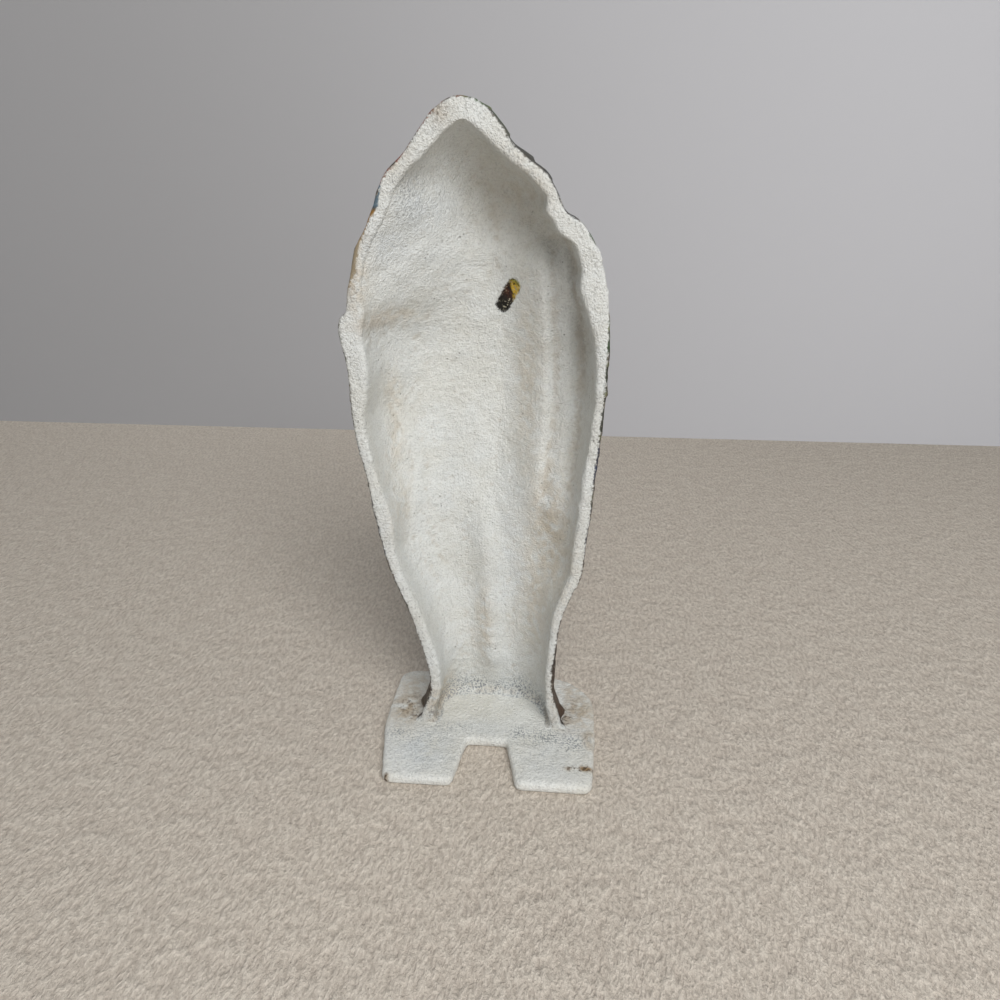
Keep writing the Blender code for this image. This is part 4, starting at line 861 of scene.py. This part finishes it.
def build_figure():
    """The hollow half figure, with the fields that its material reads."""
    outer_z, inner_z = row_heights()
    front, colour, from_edge = carved_front(outer_z)
    core = core_rows(inner_z)
    right_band, right_far = rim_band(front[:, -1], core[:, -1])
    left_band, left_far = rim_band(front[:, 0], core[:, 0])
    points = np.concatenate((front, right_band, core[:, ::-1], left_band[:, ::-1]), axis=1)

    # Places across the rim: below 0 on the front, and above 0 from the outer edge inwards
    core_far = np.minimum(np.arange(CORE_COLUMNS), np.arange(CORE_COLUMNS)[::-1])[None, :] * 0.8 + 6
    core_far = np.repeat(core_far, len(outer_z), axis=0)
    zone = np.concatenate((-from_edge, right_far, core_far, left_far[:, ::-1]), axis=1)
    behind = RIM_COLUMNS + CORE_COLUMNS // 2
    edges = [np.repeat(colour[:, column], behind, axis=1) for column in (slice(-2, -1), slice(1, 2))]
    paint = np.concatenate((colour, *edges), axis=1)
    in_pocket = (past_pocket(points[..., 0], points[..., 2]) < 3) & (zone > 5)
    paint = np.where(in_pocket[..., None], pocket_paint(points), paint)

    # The unevenness of a sand casting
    normal = grid_normals(points, True)
    on_front = ramp(-zone, 0, 3)
    swell = 0.34 * noise(points, 7) + 0.2 * noise(points, 2.9, 5.3) + 0.13 * noise(points, 1.6, 9.1)
    lumps = np.clip(noise(points, 2.3, 3.7) - 0.3, 0, None) * ramp(noise(points, 17, 1.1), -0.05, 0.45)
    swell = swell + 1.1 * lumps
    quiet = 0.1 * noise(points, 6) + 0.05 * noise(points, 2.4, 5.3)
    settle = ramp(points[..., 2], PLATE_TOP + 0.3, PLATE_TOP + 4)
    points = points + normal * ((swell * (1 - on_front) + quiet * on_front) * settle)[..., None]

    normal = grid_normals(points, True)
    data = closed_grid_mesh("figure_casting", points)
    x = points[..., 0]
    z = points[..., 2]
    blue = blobs(x, z, BLUE_WHITE) * ramp(zone, 2, 6)
    stain_and_shade = np.stack((blue, blobs(x, z, OCHRE_AND_SHADE), blobs(x, z, GREY_SPECKS)), axis=2)
    write_colours(data, {"paint": paint, "stain_and_shade": stain_and_shade})
    write_numbers(data, {
        "zone": zone,
        "crevice": bend(points, normal, 2),
        "dip": bend(points, normal, 7),
        "wrap": blobs(x, z, FRONT_WRAP) - blobs(x, z, BACK_WRAP),
        "dirt": blobs(x, z, FIGURE_DIRT) * ramp(zone, -1, 0.5),
        "pocket": np.where(zone > 5, past_pocket(x, z), NO_POCKET),
    })
    return place_piece("figure_casting", data)


# The foot plate

PLATE_CORNERS = (
    (43.4, 37, 4.6), (50.1, 0, 20), (50.1, -42.1, 8.5), (-50.1, -42.1, 26),
    (-50.1, 0, 20), (-47.8, 37, 4.6), (-14.8, 37, 3.3), (-9.2, 10, 2.2), (9.2, 10, 2.2),
    (12.9, 37, 2.6),
)
EDGE_ROUND = 1.7
PLATE_VOXEL = 0.0009


def rounded_corner(before, corner, after, radius, steps):
    """Points of an arc that rounds one corner of an outline."""
    corner = np.array(corner, dtype=float)
    to_before = np.array(before, dtype=float) - corner
    to_after = np.array(after, dtype=float) - corner
    to_before = to_before / np.linalg.norm(to_before)
    to_after = to_after / np.linalg.norm(to_after)
    half_angle = 0.5 * np.arccos(np.clip(np.dot(to_before, to_after), -1, 1))
    start = corner + to_before * radius / np.tan(half_angle)
    end = corner + to_after * radius / np.tan(half_angle)
    inward = to_before + to_after
    centre = corner + inward / np.linalg.norm(inward) * radius / np.sin(half_angle)
    sweep = np.arccos(np.clip(np.dot(start - centre, end - centre) / radius ** 2, -1, 1))
    points = []
    for u in np.linspace(0, 1, steps + 1):
        arc = np.sin((1 - u) * sweep) * (start - centre) + np.sin(u * sweep) * (end - centre)
        points.append(centre + arc / np.sin(sweep))
    return points


def plate_outline():
    """The plate from above: a D shape in front, two feet behind with a notch between them."""
    points = []
    for i, (x, y, radius) in enumerate(PLATE_CORNERS):
        before = PLATE_CORNERS[i - 1][:2]
        after = PLATE_CORNERS[(i + 1) % len(PLATE_CORNERS)][:2]
        points += rounded_corner(before, (x, y), after, radius, 8)
    return points


# Marks on the plate, as soft spots (x, y, half width, half depth, strength)

PLATE_BLUE_WHITE = ((29, 20, 14, 13, 0.9), (-28, 20, 15, 13, 0.35), (0, 2, 14, 6, 0.5))
PLATE_OCHRE = (
    (42, -10, 9, 13, 1), (40, -28, 10, 12, 0.8), (-43, -14, 9, 14, 1),
    (-40, -30, 10, 10, 0.8), (0, -39, 44, 5, 0.6), (-48, 6, 3.5, 12, 0.8),
)
PLATE_SPECKS = (
    (42, 9, 5, 4, 0.8), (30, 12, 14, 8, 0.45), (-15, 5, 5, 4, 1),
    (-28, 6, 12, 6, 0.9), (-39, 9, 7, 6, 1), (18, 3, 12, 4, 0.5),
    (-24, 20, 8, 9, 0.2), (24, 26, 14, 10, 0.25),
)
PLATE_DIRT = (
    (36, -5, 4.5, 4, 0.8), (41, -12, 6, 9, 0.85), (-36, -9, 4, 8, 0.9),
    (-40, -16, 6, 11, 0.45), (-44.5, 25.8, 4.4, 1.5, 2.4), (-39, 26.4, 3, 1.2, 1.8),
    (41.6, 36.4, 1.2, 1.2, 1.4), (-46, 4, 2.5, 5, 0.5),
)


def modify(piece, kind, **settings):
    """Put a modifier on a piece."""
    modifier = piece.modifiers.new(kind.lower(), kind)
    for name, value in settings.items():
        setattr(modifier, name, value)


def build_plate():
    """The foot plate, cut from its outline and roughened like the casting."""
    outline = plate_outline()
    shape = bmesh.new()
    low, high = [
        [shape.verts.new((x * MM, y * MM, z * MM)) for x, y in outline] for z in (0, PLATE_TOP)
    ]
    shape.faces.new(low)
    shape.faces.new(high)
    for i in range(len(outline)):
        j = (i + 1) % len(outline)
        shape.faces.new((low[i], low[j], high[j], high[i]))
    bmesh.ops.recalc_face_normals(shape, faces=shape.faces)
    data = bpy.data.meshes.new("plate_shape")
    shape.to_mesh(data)
    shape.free()
    blank = place_piece("plate_shape", data)
    modify(blank, "BEVEL", width=EDGE_ROUND * MM, segments=4, limit_method="ANGLE", angle_limit=1.2)
    modify(blank, "REMESH", mode="VOXEL", voxel_size=PLATE_VOXEL)
    modify(blank, "SMOOTH", factor=0.5, iterations=4)
    graph = bpy.context.evaluated_depsgraph_get()
    made = bpy.data.meshes.new_from_object(blank.evaluated_get(graph))
    bpy.data.objects.remove(blank, do_unlink=True)
    made.name = "plate_casting"
    made.materials.clear()

    count = len(made.vertices)
    points = np.zeros(count * 3)
    normal = np.zeros(count * 3)
    made.vertices.foreach_get("co", points)
    made.vertices.foreach_get("normal", normal)
    points = points.reshape(-1, 3) / MM
    normal = normal.reshape(-1, 3)
    rough = 0.22 * noise(points, 8, 3.1) + 0.16 * noise(points, 3.2, 1.7)
    rough = rough + 0.08 * noise(points, 1.7, 2.2)
    under = ramp(points[:, 2], 0, 1.5)
    points = points + normal * (rough * under)[:, None]
    made.vertices.foreach_set("co", (points * MM).reshape(-1))

    x = points[:, 0]
    y = points[:, 1]
    stains = (PLATE_BLUE_WHITE, PLATE_OCHRE, PLATE_SPECKS)
    stain_and_shade = np.stack([blobs(x, y, spots) for spots in stains], axis=1)
    write_colours(made, {"stain_and_shade": stain_and_shade, "paint": np.ones((count, 3)) * CREAM})
    none = np.zeros(count)
    write_numbers(made, {
        "zone": none + 12,
        "crevice": none,
        "dip": none,
        "wrap": none,
        "dirt": blobs(x, y, PLATE_DIRT),
        "pocket": none + NO_POCKET,
    })
    return place_piece("plate_casting", made)


# Materials

class Shader:
    """Small helpers that add nodes to one material."""

    def __init__(self, name):
        self.material = bpy.data.materials.new(name)
        self.material.use_nodes = True
        self.tree = self.material.node_tree
        self.surface = self.tree.nodes["Principled BSDF"]
        self.place = self.node("ShaderNodeTexCoord").outputs["Object"]

    def node(self, kind):
        return self.tree.nodes.new(kind)

    def feed(self, socket, value):
        """Give a socket a link, a colour or a number."""
        if isinstance(value, bpy.types.NodeSocket):
            self.tree.links.new(value, socket)
        else:
            socket.default_value = (*value, 1) if isinstance(value, tuple) else value

    def attribute(self, name, output="Fac"):
        made = self.node("ShaderNodeAttribute")
        made.attribute_name = name
        return made.outputs[output]

    def parts(self, colour):
        made = self.node("ShaderNodeSeparateColor")
        self.feed(made.inputs[0], colour)
        return made.outputs

    def math(self, operation, first, second=0, third=0):
        made = self.node("ShaderNodeMath")
        made.operation = operation
        for socket, value in zip(made.inputs, (first, second, third)):
            self.feed(socket, value)
        return made.outputs[0]

    def times(self, first, second):
        return self.math("MULTIPLY", first, second)

    def noise(self, scale, detail=2, roughness=0.5, place=None):
        made = self.node("ShaderNodeTexNoise")
        self.feed(made.inputs["Vector"], place or self.place)
        made.inputs["Scale"].default_value = scale
        made.inputs["Detail"].default_value = detail
        made.inputs["Roughness"].default_value = roughness
        return made.outputs["Fac"]

    def cells(self, scale):
        made = self.node("ShaderNodeTexVoronoi")
        self.feed(made.inputs["Vector"], self.place)
        made.inputs["Scale"].default_value = scale
        return made.outputs["Distance"]

    def step(self, value, low, high, to_low=0, to_high=1):
        made = self.node("ShaderNodeMapRange")
        made.interpolation_type = "SMOOTHSTEP"
        for socket, given in zip(made.inputs, (value, low, high, to_low, to_high)):
            self.feed(socket, given)
        return made.outputs[0]

    def mix(self, factor, first, second):
        made = self.node("ShaderNodeMix")
        made.data_type = "RGBA"
        for number, value in ((0, factor), (6, first), (7, second)):
            self.feed(made.inputs[number], value)
        return made.outputs[2]

    def coat(self, under, colour, strength, *masks):
        """A colour over what is there, as far as all the masks let it."""
        factor = masks[0]
        for value in (*masks[1:], strength):
            factor = self.times(factor, value)
        return self.mix(factor, under, colour)

    def bump(self, height, distance, strength):
        made = self.node("ShaderNodeBump")
        made.inputs["Distance"].default_value = distance
        self.feed(made.inputs["Strength"], strength)
        self.feed(made.inputs["Height"], height)
        self.feed(self.surface.inputs["Normal"], made.outputs["Normal"])

    def matt(self):
        self.surface.inputs["Roughness"].default_value = 0.95
        self.surface.inputs["Specular IOR Level"].default_value = 0.1


def painted_iron(name, white, shadow_white):
    """Old paint on sand-cast iron: white behind, and in front the colours of the paint attribute."""
    m = Shader(name)
    zone = m.attribute("zone")
    crevice = m.attribute("crevice")
    dirt = m.attribute("dirt")
    paint = m.attribute("paint", "Color")
    blue, ochre_and_shade, dust = m.parts(m.attribute("stain_and_shade", "Color"))

    fine = m.noise(1500, 2, 0.6)
    sand = m.noise(1150, 1, 0.5)
    grain = m.noise(760, 3, 0.62)
    lumps = m.noise(230, 3, 0.55)
    patch = m.noise(120, 4, 0.65)
    cloud = m.noise(42, 4, 0.6)
    pits = m.times(m.step(m.cells(430), 0.2, 0.08), m.step(patch, 0.56, 0.66))

    # The white side: worn whites, stains (some of them painted shade), creases and hollows darkened
    # with dirt and painted shade, dark sand grains, pits, dust, chips and dirt
    back = m.mix(m.step(cloud, 0.36, 0.66), white, shadow_white)
    back = m.coat(back, (0.79, 0.795, 0.775), 0.3, m.step(grain, 0.42, 0.6))
    back = m.coat(back, (0.665, 0.7, 0.72), 0.8, blue, m.step(patch, 0.25, 0.6))
    # Ochre stains, some of which lay painted shade on the hollow's slopes
    back = m.coat(back, (0.54, 0.44, 0.31), 0.75, ochre_and_shade, m.step(lumps, 0.3, 0.62))
    # Darker in creases and in broad hollows: dirt there, and painted shade
    back = m.coat(back, (0.44, 0.39, 0.32), 0.4, m.step(crevice, 0.04, 0.3), m.step(lumps, 0.3, 0.6))
    dip = m.step(m.attribute("dip"), 0.1, 0.65)
    back = m.coat(back, (0.55, 0.5, 0.41), 0.25, dip, m.step(patch, 0.3, 0.65))
    on_rim = m.times(m.step(zone, 6.5, 4.5), 0.2)
    specks = m.times(m.step(sand, 0.52, 0.68), m.math("ADD", on_rim, 0.22))
    back = m.mix(specks, back, (0.27, 0.265, 0.25))
    back = m.coat(back, (0.2, 0.18, 0.15), 0.6, pits)
    back = m.coat(back, (0.15, 0.175, 0.205), 0.8, dust, m.step(sand, 0.47, 0.6))
    chips = m.math("SUBTRACT", m.noise(300, 4, 0.7), m.times(crevice, 0.08))
    back = m.coat(back, (0.14, 0.1, 0.07), 0.8, m.step(chips, 0.72, 0.75))
    back = m.coat(back, (0.3, 0.2, 0.1), 0.6, dirt, m.step(lumps, 0.3, 0.58))
    marks = m.step(m.noise(620, 3, 0.65), 0.49, 0.6)
    back = m.coat(back, (0.075, 0.048, 0.024), 0.85, dirt, marks)

    # The painted front: dirt and painted shade in the carving, and worn high points that show primer
    # and iron
    front = m.coat(paint, (0.16, 0.13, 0.09), 0.2, m.step(cloud, 0.35, 0.7))
    front = m.coat(front, (0.3, 0.27, 0.21), 0.22, m.step(patch, 0.45, 0.75))
    # Near black in the carving's creases: dirt there, and painted shade
    front = m.coat(front, (0.02, 0.016, 0.012), 0.65, m.step(crevice, 0.03, 0.32))
    raised = m.math("MULTIPLY_ADD", crevice, -0.4, m.times(cloud, 0.2))
    worn = m.math("ADD", raised, m.noise(190, 5, 0.72))
    front = m.mix(m.step(worn, 0.76, 0.79), front, (0.46, 0.42, 0.34))
    front = m.mix(m.step(worn, 0.8, 0.83), front, (0.055, 0.045, 0.038))
    edge = m.step(zone, -3, -0.4)
    front = m.coat(front, (0.03, 0.025, 0.02), 0.55, edge, m.step(lumps, 0.25, 0.5))

    # The pocket in the hollow, its colours mottled with grey brown and near black
    uneven = m.math("SUBTRACT", grain, 0.5)
    pocket = m.math("ADD", m.attribute("pocket"), m.times(uneven, 3))
    mottle = m.mix(m.step(grain, 0.56, 0.64), paint, (0.5, 0.46, 0.34))
    mottle = m.coat(mottle, (0.012, 0.01, 0.007), 0.9, m.step(grain, 0.46, 0.4))
    back = m.mix(m.step(pocket, 0.8, -0.1), back, mottle)

    # The two sides meet at the rim's outer edge, which wanders
    spread = m.math("MULTIPLY_ADD", uneven, 3.4, zone)
    spread = m.math("SUBTRACT", spread, m.times(m.attribute("wrap"), 2.4))
    behind = m.step(spread, -0.2, 0.9)
    m.feed(m.surface.inputs["Base Color"], m.mix(behind, front, back))
    rough_front = m.step(patch, 0.3, 0.7, 0.42, 0.62)
    rough_back = m.step(patch, 0.3, 0.7, 0.5, 0.75)
    rough = m.node("ShaderNodeMix")
    for number, value in ((0, behind), (2, rough_front), (3, rough_back)):
        m.feed(rough.inputs[number], value)
    m.feed(m.surface.inputs["Roughness"], rough.outputs[0])

    # Sand-cast texture: fine grain, soft lumps and small pits
    height = m.math("MULTIPLY_ADD", lumps, 0.7, m.times(grain, 0.7))
    height = m.math("MULTIPLY_ADD", fine, 0.75, height)
    height = m.math("MULTIPLY_ADD", pits, -0.8, height)
    m.bump(height, 0.0013, m.step(behind, 0, 1, 0.28, 0.85))
    return m.material


# One white paint in two tones: darker on the figure as painted shade, lighter on the plate as painted
# light
SHADED_FIGURE_WHITES = ((0.705, 0.725, 0.715), (0.665, 0.67, 0.635))
LIT_PLATE_WHITES = ((0.82, 0.825, 0.79), (0.76, 0.75, 0.69))

figure = build_figure()
figure.data.materials.append(painted_iron("painted_iron_figure", *SHADED_FIGURE_WHITES))
figure.data.shade_smooth()
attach(figure, "root")
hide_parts("figure_shell")

plate = build_plate()
plate.data.materials.append(painted_iron("painted_iron_plate", *LIT_PLATE_WHITES))
plate.data.shade_smooth()
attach(plate, "root")
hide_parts("foot_plate")


# The plain floor and backdrop, the light and the camera, in metres

STAGE_HALF = 2.5
BACKDROP_Y = -0.489
BACKDROP_TOP = 2
AIM = (0, 0, 0.13)
LIGHTS = (
    ("window", (-0.34, 0.93, 0.98), 0.72, 14.6, (1, 0.995, 0.98)),
    ("side_glow", (-0.42, 0.62, 0.16), 0.5, 0.9, (1, 1, 1)),
    ("front_fill", (0.35, -1.05, 0.4), 0.8, 2.2, (1, 1, 1)),
)
SKY = (0.85, 0.87, 0.9, 1)
SKY_STRENGTH = 0.27
CAMERA_PLACE = (-0.03057, 0.28944, 0.238)
CAMERA_YAW = 5
CAMERA_PITCH = 22
LENS = 27.04
SENSOR = 36


def carpet_material(colour):
    """Short pale pile, with painted shade where it is low."""
    m = Shader("floor_pile")
    lay = m.node("ShaderNodeMapping")
    m.feed(lay.inputs["Vector"], m.place)
    lay.inputs["Rotation"].default_value = (0, 0, 0.9)
    lay.inputs["Scale"].default_value = (1, 0.45, 1)
    tufts = m.noise(95, 3, 0.6)
    pile = m.noise(560, 4, 0.7, lay.outputs["Vector"])
    # Darker where the tufts and the pile are low: painted shade
    tone = m.coat(colour, (0.5, 0.4, 0.33), 0.16, m.step(tufts, 0.62, 0.38))
    tone = m.coat(tone, (0.44, 0.375, 0.315), 0.52, m.step(pile, 0.62, 0.36))
    m.feed(m.surface.inputs["Base Color"], tone)
    m.matt()
    m.bump(m.math("MULTIPLY_ADD", pile, 1.1, tufts), 0.0035, 0.8)
    return m.material


def wall_material(left, right):
    """A plain grey wall, a little darker towards one side: painted shade."""
    m = Shader("backdrop_grey")
    side = m.node("ShaderNodeSeparateXYZ")
    m.feed(side.inputs[0], m.place)
    m.feed(m.surface.inputs["Base Color"], m.mix(m.step(side.outputs[0], 0.45, -0.45), left, right))
    m.matt()
    return m.material


def sheet_object(name, corners, material):
    """A flat sheet of the stage."""
    data = bpy.data.meshes.new(name)
    data.from_pydata(corners, [], [(0, 1, 2, 3)])
    data.materials.append(material)
    made = place_piece(name, data)
    return made


half = STAGE_HALF
corners = [(-half, -half, 0), (half, -half, 0), (half, half, 0), (-half, half, 0)]
floor = sheet_object("floor", corners, carpet_material((0.84, 0.76, 0.66)))
corners = [(-half, BACKDROP_Y, 0), (half, BACKDROP_Y, 0)]
corners += [(x, y, BACKDROP_TOP) for x, y, z in reversed(corners)]
backdrop = sheet_object("backdrop", corners, wall_material((0.45, 0.45, 0.465), (0.62, 0.625, 0.66)))
backdrop.visible_diffuse = False
backdrop.visible_shadow = False

for name, place, size, power, colour in LIGHTS:
    light = bpy.data.lights.new(name, "AREA")
    light.energy = power
    light.size = size
    light.color = colour
    lamp = place_piece(name, light)
    lamp.location = place
    lamp.rotation_euler = (Vector(AIM) - Vector(place)).to_track_quat("-Z", "Y").to_euler()

world = bpy.data.worlds.new("studio")
world.use_nodes = True
sky = world.node_tree.nodes["Background"]
sky.inputs["Color"].default_value = SKY
sky.inputs["Strength"].default_value = SKY_STRENGTH
scene.world = world

lens = bpy.data.cameras.new("photo_camera")
lens.lens = LENS
lens.sensor_width = SENSOR
lens.clip_start = 0.01
camera = place_piece("photo_camera", lens)
camera.location = CAMERA_PLACE
yaw = np.radians(CAMERA_YAW)
pitch = np.radians(CAMERA_PITCH)
ahead = Vector((np.sin(yaw) * np.cos(pitch), -np.cos(yaw) * np.cos(pitch), -np.sin(pitch)))
camera.rotation_euler = ahead.to_track_quat("-Z", "Y").to_euler()
bpy.context.scene.camera = camera
bpy.context.scene.view_settings.view_transform = "Standard"
